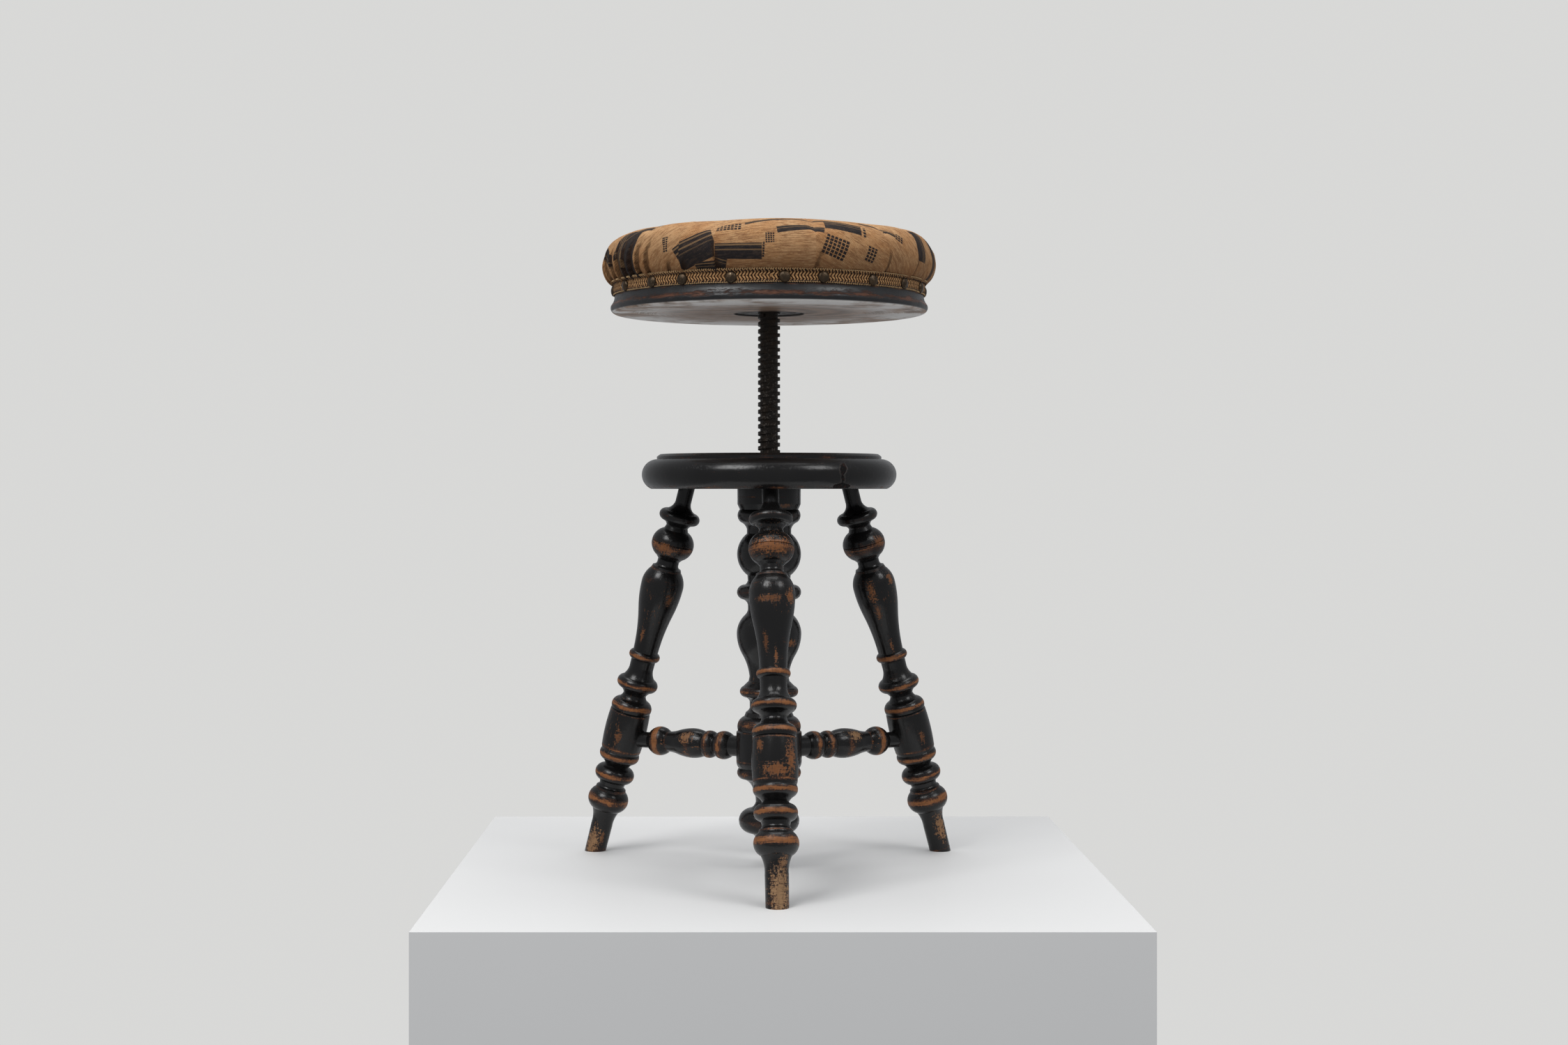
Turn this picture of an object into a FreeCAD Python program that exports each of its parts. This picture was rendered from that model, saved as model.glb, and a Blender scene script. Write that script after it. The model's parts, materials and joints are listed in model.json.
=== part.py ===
import FreeCAD, Part
import math
import os
import Sketcher

# Revolving piano stool. Millimetres, +Z up, origin on the floor under the screw's axis, front leg towards -Y.

SIZES = {
    # Stand: a round top on three splayed legs, with a column hanging between them
    "top_underside": 399.5,
    "top_thickness": 36.5,
    "top_foot_radius": 124.0,
    "top_rim_height": 31.0,
    "top_rim_bulge": 11.6,
    "top_rim_shoulder_radius": 121.0,
    "top_step_radius": 118.3,
    "top_step_height": 3.0,
    "top_crown_radius": 115.0,
    "leg_circle": 101.8,
    "leg_splay": 16.5,
    "leg_first_azimuth": 30.0,
    "front_leg_twist": 2.4,
    "leg_tenon": 24.0,
    "leg_overrun": 12.0,
    "joint_clearance": 0.1,
    "tenon_end_gap": 0.4,
    "leg_mortise_drop": 10.0,
    "column_mortise_drop": 1.4,
    "stretcher_inner_end": 17.0,
    "stretcher_tenon_depth": 16.0,
    # Square-threaded screw and its nut
    "screw_showing": 148.0,
    "screw_core_radius": 9.35,
    "screw_thread_radius": 11.7,
    "screw_pitch": 7.7,
    "screw_tooth_width": 3.5,
    "screw_below_nut": 16.0,
    "screw_runout": 1.5,
    "screw_collar": 1.5,
    "screw_stem_radius": 8.0,
    "screw_rivet_radius": 11.0,
    "screw_rivet_height": 3.0,
    "thread_clearance": 0.35,
    "tooth_root": 0.4,
    "nut_flange_radius": 30.0,
    "nut_flange_thickness": 4.0,
    "nut_barrel_radius": 17.0,
    "nut_length": 54.0,
    "nut_screw_circle": 23.5,
    "nut_screw_count": 3,
    "well_radius": 14.6,
    "well_spare": 3.0,
    # Loose washer that stops the screw from leaving the nut, and the shouldered screw that holds it
    "washer_radius": 13.4,
    "washer_thickness": 3.0,
    "washer_bore_radius": 4.3,
    "washer_gap": 0.3,
    "end_screw_shank_radius": 4.0,
    "end_screw_shank": 14.0,
    "end_screw_head_radius": 8.0,
    "end_screw_head": 3.5,
    "end_screw_slot_width": 1.6,
    "end_screw_slot_depth": 1.5,
    # Countersunk wood screws of the nut and the flange
    "wood_screw_head_radius": 4.2,
    "wood_screw_head": 2.8,
    "wood_screw_radius": 2.1,
    "wood_screw_length": 15.0,
    "wood_screw_tip": 3.5,
    "wood_screw_slot_width": 1.1,
    "wood_screw_slot_depth": 1.0,
    "wood_screw_sunk": 0.2,
    # Seat board and the iron flange under it
    "board_foot_radius": 162.0,
    "board_radius": 166.5,
    "board_round_height": 7.5,
    "board_round_bulge": 2.2,
    "board_waist_radius": 162.6,
    "board_waist_height": 18.0,
    "board_flare_bulge": 1.0,
    "board_edge_radius": 157.4,
    "board_thickness": 30.0,
    "recess_radius": 37.0,
    "recess_depth": 6.0,
    "flange_radius": 34.5,
    "flange_thickness": 4.5,
    "flange_screw_circle": 24.5,
    "flange_screw_count": 4,
    # Upholstery: stuffing, lining, cover and trimmings
    "cushion_radius": 174.8,
    "cushion_widest_height": 22.0,
    "cushion_side_bulge": 3.7,
    "cushion_shoulder_radius": 152.0,
    "cushion_shoulder_height": 51.0,
    "cushion_shoulder_bulge": 7.6,
    "cushion_shoulder_slope": 47.0,
    "cushion_crest_radius": 112.0,
    "cushion_crest_height": 53.5,
    "cushion_crest_bulge": 0.5,
    "cushion_dip": 2.5,
    "cushion_dip_bulge": 0.6,
    "cloth_gap": 0.3,
    "cover_thickness": 1.5,
    "cover_hem": 11.0,
    "lining_thickness": 0.8,
    "lining_hem": 8.0,
    "tack_head_radius": 3.0,
    "tack_head": 0.7,
    "tack_shank_radius": 0.8,
    "tack_shank": 9.0,
    "braid_thickness": 1.8,
    "braid_width": 11.6,
    "braid_drop": 0.3,
    "nail_count": 19,
    "nail_first_azimuth": -9.5,
    "nail_head_radius": 6.0,
    "nail_head_height": 3.4,
    "nail_shank_radius": 1.0,
    "nail_shank": 13.0,
    "shank_clearance": 0.1,
    # Length of a nail's or tack's point, in radii of its shank
    "pin_point": 2.0,
}

# Turned outlines, listed from the top down: name, length, radius at the lower end, bulge of the edge.
# A bulge is how far an arc stands out from its chord, or sinks below it where it is negative.
# The length None is whatever is left of the piece.
LEG_TURNING = (
    ("neck", 39.5, 8.6, 0),
    ("top_cove", 10.0, 16.5, -1.8),
    ("top_ring", 12.0, 16.5, 5.7),
    ("top_ring_cove", 5.0, 11.8, -0.8),
    ("ball_lip", 4.0, 13.2, 0),
    ("ball_upper", 14.1, 23.0, 2.3),
    ("ball_score", 0.5, 22.3, 0),
    ("ball_score_lip", 0.5, 23.0, 0),
    ("ball_lower", 15.4, 14.5, 2.4),
    ("waist_top", 3.2, 11.7, 0),
    ("waist", 3.5, 11.7, 0),
    ("waist_cove", 4.8, 15.6, -1.2),
    ("waist_fillet", 3.2, 16.7, 0),
    ("vase_shoulder", 18.4, 23.0, 1.9),
    ("vase_belly", 29.0, 19.3, 0.8),
    ("vase_stem", 45.6, 13.6, -1.2),
    ("thin_ring", 9.5, 13.4, 3.5),
    ("cup_stem", 8.0, 13.2, 0),
    ("cup_flare", 12.7, 17.6, -1.3),
    ("cup_ring", 13.0, 17.6, 4.8),
    ("cup_under", 6.0, 12.4, -0.7),
    ("collar_cove", 6.0, 16.0, -0.7),
    ("collar", 12.2, 21.4, 3.0),
    ("block_score", 0.8, 20.7, 0),
    ("block_lip", 0.8, 21.8, 0),
    ("block", 43.2, 21.7, 1.1),
    ("block_foot", 2.9, 20.8, 0),
    ("block_ring", 10.6, 18.2, 2.3),
    ("block_under", 5.6, 12.9, -0.5),
    ("ankle_lip", 1.6, 14.6, 0),
    ("ankle_ring", 17.0, 14.6, 7.0),
    ("ankle_neck", 4.2, 13.6, 0),
    ("ankle_cove", 3.4, 16.3, -0.6),
    ("ankle_fillet", 3.0, 17.0, 0),
    ("foot_ball", 22.4, 15.2, 6.1),
    ("foot_cove", 18.0, 11.7, -1.3),
    ("foot", None, 11.2, 0),
)

COLUMN_TURNING = (
    ("tenon", 20.0, 25.0, 0),
    ("shoulder", 0, 33.5, 0),
    ("cap", 16.0, 33.4, 0),
    ("cap_groove", 5.6, 30.9, 0),
    ("cap_ring", 13.4, 29.8, 2.9),
    ("cap_under", 7.4, 23.4, -1.2),
    ("cap_neck", 4.6, 23.4, 0),
    ("knop", 44.0, 22.8, 10.6),
    ("knop_neck", 5.4, 22.4, 0),
    ("ring_cove", 4.6, 25.5, -0.6),
    ("ring", 15.4, 27.4, 7.4),
    ("ring_under", 5.6, 22.4, -1.0),
    ("ring_neck", 5.0, 22.3, 0),
    ("vase_cove", 5.6, 25.2, -0.5),
    ("vase_shoulder", 20.4, 34.1, 2.4),
    ("vase_belly", 20.6, 28.7, 1.25),
    ("vase_stem", None, 20.6, -1.4),
    ("low_ring_lip", 5.0, 21.6, 0),
    ("low_ring_cove", 5.5, 27.2, 0),
    ("low_ring", 11.2, 25.1, 4.6),
    ("low_ring_under", 4.4, 20.4, -0.7),
    ("cup_neck", 7.0, 20.3, 0),
    ("cup_cove", 4.6, 24.4, -0.6),
    ("cup_fillet", 4.4, 26.2, 0),
    ("cup_ring", 15.0, 32.8, 3.3),
    ("block_lip", 1.5, 34.4, 0),
    ("block", 32.0, 34.4, 0.3),
    ("block_under", 6.1, 31.9, 0.5),
    ("block_ring", 10.3, 30.8, 2.3),
    ("drop_cove", 9.0, 18.0, -2.0),
    ("drop_neck", 16.0, 14.0, -1.0),
    ("drop_lip", 7.5, 20.0, -1.2),
    ("drop_ball", 24.6, 23.5, 10.2),
    ("drop_under", 6.0, 13.5, -1.4),
    ("drop_tip", 9.0, 8.0, 3.5),
)

STRETCHER_TURNING = (
    ("neck", None, 10.9, 0),
    ("ring", 19.0, 11.2, 4.0),
    ("groove", 0.8, 11.5, 0),
    ("thin_ring", 13.0, 12.9, 2.4),
    ("vase_swell", 16.0, 15.9, 0.9),
    ("vase_fall", 15.5, 13.4, 0.45),
    ("vase_stem", 14.5, 10.8, -0.6),
    ("bead", 21.8, 10.2, 5.1),
    ("bead_foot", 2.2, 8.6, 0),
    ("tenon", 28.0, 8.6, 0),
)

doc = FreeCAD.newDocument("revolving_piano_stool")
sheet = doc.addObject("Spreadsheet::Sheet", "Sizes")


def turning_sizes(piece, turning):
    """The lengths, radii and bulges of one turned outline, each with its alias."""
    sizes = []
    for name, length, radius, bulge in turning:
        if length:
            sizes.append((f"{piece}_{name}_length", length))
        sizes.append((f"{piece}_{name}_radius", radius))
        if bulge:
            sizes.append((f"{piece}_{name}_bulge", abs(bulge)))
    return sizes


def fill_sheet():
    """Writes every driving size into the sheet under its alias, one row each."""
    sizes = list(SIZES.items())
    sizes += turning_sizes("leg", LEG_TURNING)
    sizes += turning_sizes("column", COLUMN_TURNING)
    sizes += turning_sizes("stretcher", STRETCHER_TURNING)
    for row, (alias, value) in enumerate(sizes, start=1):
        sheet.set(f"A{row}", alias.replace("_", " "))
        sheet.set(f"B{row}", str(value))
        sheet.setAlias(f"B{row}", alias)
    doc.recompute()


fill_sheet()


def worth(expression):
    """The number that an expression over the sheet gives."""
    value = sheet.evalExpression(str(expression))
    return float(getattr(value, "Value", value))


def lengths_above(piece, turning, last_name):
    """Expression for the known lengths of a turning, from its start down to the end of last_name."""
    terms = []
    for name, length, _radius, _bulge in turning:
        if length:
            terms.append(f"Sizes.{piece}_{name}_length")
        if name == last_name:
            break
    return "(" + " + ".join(terms) + ")"


def known_lengths(piece, turning):
    return lengths_above(piece, turning, turning[-1][0])


FULL_TURN = 360
QUARTER_TURN = 90

# Heights and distances that several pieces share
TOP = "(Sizes.top_underside + Sizes.top_thickness)"
SEAT = f"({TOP} + Sizes.screw_showing)"
BOARD_TOP = f"({SEAT} + Sizes.board_thickness)"
RECESS_TOP = f"({SEAT} + Sizes.recess_depth)"
FLANGE_UNDER = f"({RECESS_TOP} - Sizes.flange_thickness)"
NUT_END = f"({TOP} - Sizes.nut_length)"
NUT_SEAT = f"({TOP} - Sizes.nut_flange_thickness)"
SCREW_END = f"({NUT_END} - Sizes.screw_below_nut)"
END_SCREW_HEAD_TOP = f"({SCREW_END} - 2 * Sizes.washer_gap - Sizes.washer_thickness)"
WELL_BOTTOM = f"({END_SCREW_HEAD_TOP} - Sizes.end_screw_head - Sizes.screw_showing - Sizes.well_spare)"
LEG_BLOCK_DROP = (
    f"({lengths_above('leg', LEG_TURNING, 'block')} - Sizes.leg_block_length / 2"
    " - Sizes.leg_tenon + Sizes.leg_mortise_drop)"
)
STRETCHER_HEIGHT = f"(Sizes.top_underside - {LEG_BLOCK_DROP} * cos(Sizes.leg_splay))"
LEG_AXIS_AT_STRETCHER = f"(Sizes.leg_circle + {LEG_BLOCK_DROP} * sin(Sizes.leg_splay))"
STRETCHER_OUTER_END = (
    f"({LEG_AXIS_AT_STRETCHER} - Sizes.leg_block_radius / cos(Sizes.leg_splay)"
    " + Sizes.stretcher_tenon_depth)"
)
LEG_LENGTH = "(Sizes.leg_tenon + Sizes.top_underside / cos(Sizes.leg_splay) + Sizes.leg_overrun)"
COLUMN_LENGTH = (
    f"(Sizes.column_tenon_length + Sizes.top_underside - {STRETCHER_HEIGHT}"
    " - Sizes.column_mortise_drop + Sizes.column_block_length / 2"
    f" + {known_lengths('column', COLUMN_TURNING)} - {lengths_above('column', COLUMN_TURNING, 'block')})"
)
STRETCHER_LENGTH = f"({STRETCHER_OUTER_END} - Sizes.stretcher_inner_end)"
LINING_OUT = "(Sizes.cloth_gap + Sizes.cover_thickness)"
LINING_IN = f"({LINING_OUT} + Sizes.lining_thickness)"
COVER_EDGE = f"(Sizes.board_edge_radius + Sizes.cloth_gap + {LINING_IN})"
BRAID_INNER = f"({COVER_EDGE} + Sizes.tack_head + Sizes.cloth_gap)"
BRAID_OUTER = f"({BRAID_INNER} + Sizes.braid_thickness)"
BRAID_TOP = f"({BOARD_TOP} - Sizes.braid_drop)"
BRAID_FOOT = f"({BRAID_TOP} - Sizes.braid_width)"
BRAID_MIDDLE = f"({BRAID_TOP} - Sizes.braid_width / 2)"
TACK_AZIMUTH = f"(Sizes.nail_first_azimuth + {FULL_TURN} / (2 * Sizes.nail_count))"


def place(azimuth, tilt, across="0", up="0"):
    """Placement across from the stool's axis at an azimuth, turned to it and tilted about its own Y."""
    return (
        f"placement(vector(({across}) * cos({azimuth}); ({across}) * sin({azimuth}); {up});"
        f" rotationz({azimuth}) * rotationy({tilt}))"
    )


def origin_plane(body, role):
    return next(feature for feature in body.Origin.OriginFeatures if feature.Role == role)


def new_body(label):
    body = doc.addObject("PartDesign::Body", label)
    body.Label = label
    body.AllowCompound = True
    return body


def new_sketch(body, name, role="XZ_Plane", offset=None):
    """A sketch on one of the body's own origin planes, moved by expressions where offset names them."""
    sketch = body.newObject("Sketcher::SketchObject", name)
    sketch.AttachmentSupport = [(origin_plane(body, role), "")]
    sketch.MapMode = "FlatFace"
    for path, expression in (offset or {}).items():
        if path.startswith("Rotation"):
            turn = FreeCAD.Rotation(FreeCAD.Vector(0, 1, 0), 1)
            sketch.AttachmentOffset = FreeCAD.Placement(FreeCAD.Vector(0, 0, 0), turn)
        sketch.setExpression(f"AttachmentOffset.{path}", expression)
    return sketch


def edge_between(start, end, bulge):
    """A line or arc from start to end. An arc with a positive bulge stands out to the right of the way."""
    a = FreeCAD.Vector(start[0], start[1], 0)
    b = FreeCAD.Vector(end[0], end[1], 0)
    if not bulge:
        return Part.LineSegment(a, b), True
    chord = b - a
    size = abs(bulge)
    radius = chord.Length ** 2 / (8 * size) + size / 2
    right = FreeCAD.Vector(chord.y, -chord.x, 0).normalize()
    side = 1 if bulge > 0 else -1
    centre = (a + b) / 2 + right * (side * (size - radius))
    first, last = (a, b) if bulge > 0 else (b, a)
    angle_from = math.atan2(first.y - centre.y, first.x - centre.x)
    angle_to = math.atan2(last.y - centre.y, last.x - centre.x)
    circle = Part.Circle(centre, FreeCAD.Vector(0, 0, 1), radius)
    return Part.ArcOfCircle(circle, angle_from, angle_to), bulge > 0


def close_outline(sketch, points, bulges):
    """Draws a closed outline and returns, for each point, the sketch's reference to it."""
    count = len(points)
    edges = [edge_between(points[i], points[(i + 1) % count], bulges[i]) for i in range(count)]
    sketch.addGeometry([edge for edge, _forward in edges])
    starts = [(i, 1 if forward else 2) for i, (_edge, forward) in enumerate(edges)]
    ends = [(i, 2 if forward else 1) for i, (_edge, forward) in enumerate(edges)]
    joins = [Sketcher.Constraint("Coincident", *ends[i], *starts[(i + 1) % count]) for i in range(count)]
    sketch.addConstraint(joins)
    return starts


def bind(sketch, constraint, name, expression):
    """Adds one dimension to a sketch, names it and ties it to the sheet."""
    index = sketch.addConstraint(constraint)
    sketch.renameConstraint(index, name)
    sketch.setExpression(f"Constraints.{name}", expression)


def arc_radius(run, rise, bulge):
    return f"(({run})^2 + ({rise})^2) / (8 * ({bulge})) + ({bulge}) / 2"


def outline(body, name, corners, role="XZ_Plane", offset=None):
    """A closed sketch whose corners are (name, across, up, bulge of the edge that leaves it).

    The sizes are expressions. The corners go round anticlockwise, so a positive bulge stands outwards.
    """
    sketch = new_sketch(body, name, role, offset)
    points = [(worth(across), worth(up)) for _name, across, up, _bulge in corners]
    signs = [-1 if str(bulge).startswith("-") else 1 for *_rest, bulge in corners]
    sizes = [str(bulge).lstrip("-") for *_rest, bulge in corners]
    bulges = [sign * worth(size) for sign, size in zip(signs, sizes)]
    refs = close_outline(sketch, points, bulges)
    for i, (corner, across, up, _bulge) in enumerate(corners):
        for kind, value, expression, axis in (
            ("DistanceX", points[i][0], across, -2),
            ("DistanceY", points[i][1], up, -1),
        ):
            if value == 0:
                sketch.addConstraint(Sketcher.Constraint("PointOnObject", *refs[i], axis))
            else:
                constraint = Sketcher.Constraint(kind, -1, 1, *refs[i], value)
                bind(sketch, constraint, f"{corner}_{kind[-1].lower()}", expression)
        if bulges[i]:
            after = corners[(i + 1) % len(corners)]
            radius = arc_radius(f"{after[1]} - ({across})", f"{after[2]} - ({up})", sizes[i])
            bind(sketch, Sketcher.Constraint("Radius", i, worth(radius)), f"{corner}_arc", radius)
    return sketch


def turned_outline(body, piece, turning, start, start_radius, total):
    """Half section of a turned piece, from the height start downwards, total long in all."""
    rest = f"({total} - {known_lengths(piece, turning)})"
    level = worth(start)
    points = [(0.0, level), (worth(start_radius), level)]
    bulges = [0]
    for _name, length, radius, bulge in turning:
        level -= worth(rest) if length is None else length
        points.append((radius, level))
        bulges.append(-bulge)
    points.append((0.0, level))
    bulges.extend([0, 0])
    sketch = new_sketch(body, f"{piece}_section")
    refs = close_outline(sketch, points, bulges)
    sketch.addConstraint([
        Sketcher.Constraint("PointOnObject", *refs[0], -2),
        Sketcher.Constraint("PointOnObject", *refs[-1], -2),
        Sketcher.Constraint("Horizontal", 0),
        Sketcher.Constraint("Horizontal", len(points) - 2),
    ])
    bind(sketch, Sketcher.Constraint("DistanceX", -1, 1, *refs[1], points[1][0]),
         "start_radius", start_radius)
    if points[0][1] < 0:
        bind(sketch, Sketcher.Constraint("DistanceY", *refs[0], -1, 1, -points[0][1]),
             "start_level", f"-({start})")
    else:
        bind(sketch, Sketcher.Constraint("DistanceY", -1, 1, *refs[0], points[0][1]),
             "start_level", start)
    radius_before = start_radius
    for i, (name, length, _radius, bulge) in enumerate(turning, start=1):
        run = rest if length is None else f"Sizes.{piece}_{name}_length"
        radius = f"Sizes.{piece}_{name}_radius"
        if length == 0:
            sketch.addConstraint(Sketcher.Constraint("Horizontal", i))
        else:
            drop = points[i][1] - points[i + 1][1]
            bind(sketch, Sketcher.Constraint("DistanceY", *refs[i + 1], *refs[i], drop),
                 f"{name}_length", run)
        bind(sketch, Sketcher.Constraint("DistanceX", -1, 1, *refs[i + 1], points[i + 1][0]),
             f"{name}_radius", radius)
        if bulge:
            bent = arc_radius(run, f"{radius} - {radius_before}", f"Sizes.{piece}_{name}_bulge")
            bind(sketch, Sketcher.Constraint("Radius", i, worth(bent)), f"{name}_arc", bent)
        radius_before = radius
    return sketch


def revolve(body, sketch, name, axis="V_Axis", kind="PartDesign::Revolution"):
    feature = body.newObject(kind, name)
    feature.Profile = sketch
    feature.ReferenceAxis = (sketch, [axis])
    feature.Angle = FULL_TURN
    return feature


def groove(body, sketch, name, axis="V_Axis"):
    """Cuts a turned hollow and makes sure that it took material away."""
    doc.recompute()
    before = body.Shape.Volume
    feature = revolve(body, sketch, name, axis, "PartDesign::Groove")
    doc.recompute()
    if not body.Shape.Volume < before:
        raise RuntimeError(f"{name} cut nothing")
    return feature


def repeat_round(body, features, name, count):
    """Repeats features evenly round the stool's axis."""
    pattern = body.newObject("PartDesign::PolarPattern", name)
    pattern.Originals = features
    pattern.Axis = (origin_plane(body, "Z_Axis"), [""])
    pattern.Angle = FULL_TURN
    pattern.setExpression("Occurrences", count)
    body.Tip = pattern
    return pattern


def cylinder(name, radius, length, placement):
    """A round cutting tool, its size and place tied to the sheet."""
    tool = doc.addObject("Part::Cylinder", name)
    tool.setExpression("Radius", radius)
    tool.setExpression("Height", length)
    tool.setExpression("Placement", placement)
    return tool


def outward_tool(name, azimuth, height, radius, near, far):
    """A round cutting tool that lies along a radius of the stool, from near to far."""
    return cylinder(name, radius, f"{far} - ({near})", place(azimuth, QUARTER_TURN, near, height))


def cut(label, base, tools):
    """base less all the tools, as the finished piece called label."""
    joined = doc.addObject("Part::MultiFuse", f"{label}_tools")
    joined.Shapes = tools
    piece = doc.addObject("Part::Cut", label)
    piece.Label = label
    piece.Base = base
    piece.Tool = joined
    return piece


# The three places round the stool: name, azimuth, twist of the leg about the upright through its top
PLACES = (
    ("right", "Sizes.leg_first_azimuth", "0"),
    ("left", f"(Sizes.leg_first_azimuth + {FULL_TURN} / 3)", "0"),
    ("front", f"(Sizes.leg_first_azimuth + 2 * {FULL_TURN} / 3)", "Sizes.front_leg_twist"),
)


def leg_place(azimuth, twist):
    """Placement on the leg's own axis at the underside of the top, local +Z up along the leg."""
    reach = "Sizes.leg_circle"
    return (
        f"placement(vector({reach} * cos({azimuth}); {reach} * sin({azimuth}); Sizes.top_underside);"
        f" rotationz({azimuth} + {twist}) * rotationy(-Sizes.leg_splay))"
    )


# Legs: turned, tenoned into the top, mortised for the stretchers, sawn level with the floor
def make_leg(side, azimuth, twist):
    body = new_body(f"leg_{side}_turned")
    sketch = turned_outline(
        body, "leg", LEG_TURNING, "Sizes.leg_tenon", "Sizes.leg_neck_radius", LEG_LENGTH
    )
    revolve(body, sketch, f"leg_{side}_turning")
    body.setExpression("Placement", leg_place(azimuth, twist))
    mortise = outward_tool(
        f"leg_{side}_mortise", azimuth, STRETCHER_HEIGHT,
        "Sizes.stretcher_tenon_radius + Sizes.joint_clearance",
        f"{LEG_AXIS_AT_STRETCHER} - 2 * Sizes.leg_block_radius",
        f"{STRETCHER_OUTER_END} + Sizes.tenon_end_gap",
    )
    # All that the leg's overrun reaches into below the floor is sawn off
    reach = f"({LEG_LENGTH})"
    below_floor = doc.addObject("Part::Box", f"leg_{side}_below_floor")
    for edge in ("Length", "Width"):
        below_floor.setExpression(edge, f"2 * {reach}")
    below_floor.setExpression("Height", reach)
    below_floor.setExpression("Placement", f"placement(vector(-{reach}; -{reach}; -{reach}); rotationz(0))")
    return cut(f"leg_{side}", body, [mortise, below_floor])


# Stretchers: from mortises in the column to mortises in the legs
def make_stretcher(side, azimuth):
    body = new_body(f"stretcher_{side}")
    sketch = turned_outline(
        body, "stretcher", STRETCHER_TURNING, "-Sizes.stretcher_inner_end",
        "Sizes.stretcher_neck_radius", STRETCHER_LENGTH,
    )
    revolve(body, sketch, f"stretcher_{side}_turning")
    body.setExpression("Placement", place(azimuth, -QUARTER_TURN, up=STRETCHER_HEIGHT))
    return body


# Column: tenoned into the top, bored as a well for the screw, mortised for the stretchers
def make_column():
    body = new_body("column_turned")
    sketch = turned_outline(
        body, "column", COLUMN_TURNING, "Sizes.top_underside + Sizes.column_tenon_length",
        "Sizes.column_tenon_radius", COLUMN_LENGTH,
    )
    revolve(body, sketch, "column_turning")
    mouth = "(Sizes.top_underside + 2 * Sizes.column_tenon_length)"
    ledge = f"({NUT_END} - Sizes.tenon_end_gap)"
    barrel = "(Sizes.nut_barrel_radius + Sizes.joint_clearance)"
    bore = outline(body, "column_bore", [
        ("well_axis", "0", WELL_BOTTOM, 0),
        ("well_side", "Sizes.well_radius", WELL_BOTTOM, 0),
        ("well_mouth", "Sizes.well_radius", ledge, 0),
        ("ledge", barrel, ledge, 0),
        ("mouth", barrel, mouth, 0),
        ("mouth_axis", "0", mouth, 0),
    ])
    groove(body, bore, "column_well")
    mortises = [
        outward_tool(
            f"column_mortise_{side}", azimuth, STRETCHER_HEIGHT,
            "Sizes.stretcher_neck_radius + Sizes.joint_clearance",
            "Sizes.stretcher_inner_end - Sizes.tenon_end_gap", "2 * Sizes.column_block_radius",
        )
        for side, azimuth, _twist in PLACES
    ]
    return cut("column", body, mortises)


def wood_screw_corners(level, facing, grow):
    """Outline of a countersunk screw about its own axis. Its head's face is at level and looks facing (1 up).

    grow enlarges it into the hole that it goes in, which reaches past the face.
    """
    head = f"(Sizes.wood_screw_head_radius + {grow})"
    shank = f"(Sizes.wood_screw_radius + {grow})"
    away = "-" if facing > 0 else "+"
    neck = f"({level} {away} Sizes.wood_screw_head)"
    shoulder = f"({level} {away} Sizes.wood_screw_length {'+' if facing > 0 else '-'} Sizes.wood_screw_tip)"
    tip = f"({level} {away} (Sizes.wood_screw_length + {grow}))"
    corners = [("tip", "0", tip, 0), ("shoulder", shank, shoulder, 0), ("neck", shank, neck, 0)]
    corners.append(("rim", head, level, 0))
    if grow != "0":
        past = f"({level} {'+' if facing > 0 else '-'} Sizes.wood_screw_head)"
        corners += [("past_rim", head, past, 0), ("past", "0", past, 0)]
    else:
        corners.append(("face", "0", level, 0))
    return corners if facing > 0 else list(reversed(corners))


def screw_holes(body, name, level, facing, circle, count):
    """Countersunk holes round the axis, tied to the screws that go in them."""
    corners = wood_screw_corners(level, facing, "Sizes.shank_clearance")
    hole = outline(body, f"{name}_hole", corners, offset={"Base.x": circle})
    first = groove(body, hole, f"{name}_first_hole")
    return repeat_round(body, [first], f"{name}_holes", count)


def slot_across(body, label, screw, centre, level, facing):
    """Cuts a slot across a screw's head at centre, from its face at level, which looks facing (1 up)."""
    width = f"Sizes.{screw}_slot_width"
    reach = f"(Sizes.{screw}_head_radius + {width})"
    slot = outline(body, f"{label}_slot_outline", [
        ("near", "0", "0", 0),
        ("far", f"(2 * {reach})", "0", 0),
        ("far_end", f"(2 * {reach})", width, 0),
        ("near_end", "0", width, 0),
    ], role="XY_Plane", offset={"Base.x": f"{centre} - {reach}", "Base.y": f"-{width} / 2", "Base.z": level})
    doc.recompute()
    before = body.Shape.Volume
    pocket = body.newObject("PartDesign::Pocket", f"{label}_slot")
    pocket.Profile = slot
    pocket.setExpression("Length", f"Sizes.{screw}_slot_depth")
    pocket.Reversed = facing < 0
    doc.recompute()
    if not body.Shape.Volume < before:
        raise RuntimeError(f"{label} has no slot")
    return pocket


def make_wood_screws(label, level, facing, circle, count):
    body = new_body(label)
    section = outline(body, f"{label}_section", wood_screw_corners(level, facing, "0"),
                      offset={"Base.x": circle})
    turned = revolve(body, section, f"{label}_turning")
    pocket = slot_across(body, label, "wood_screw", circle, level, facing)
    repeat_round(body, [turned, pocket], f"{label}_round", count)
    return body


NUT_SCREW_FACE = f"({TOP} - Sizes.wood_screw_sunk)"
FLANGE_SCREW_FACE = f"({FLANGE_UNDER} + Sizes.wood_screw_sunk)"
NUT_SCREWS = (NUT_SCREW_FACE, 1, "Sizes.nut_screw_circle", "Sizes.nut_screw_count")
FLANGE_SCREWS = (FLANGE_SCREW_FACE, -1, "Sizes.flange_screw_circle", "Sizes.flange_screw_count")


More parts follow.
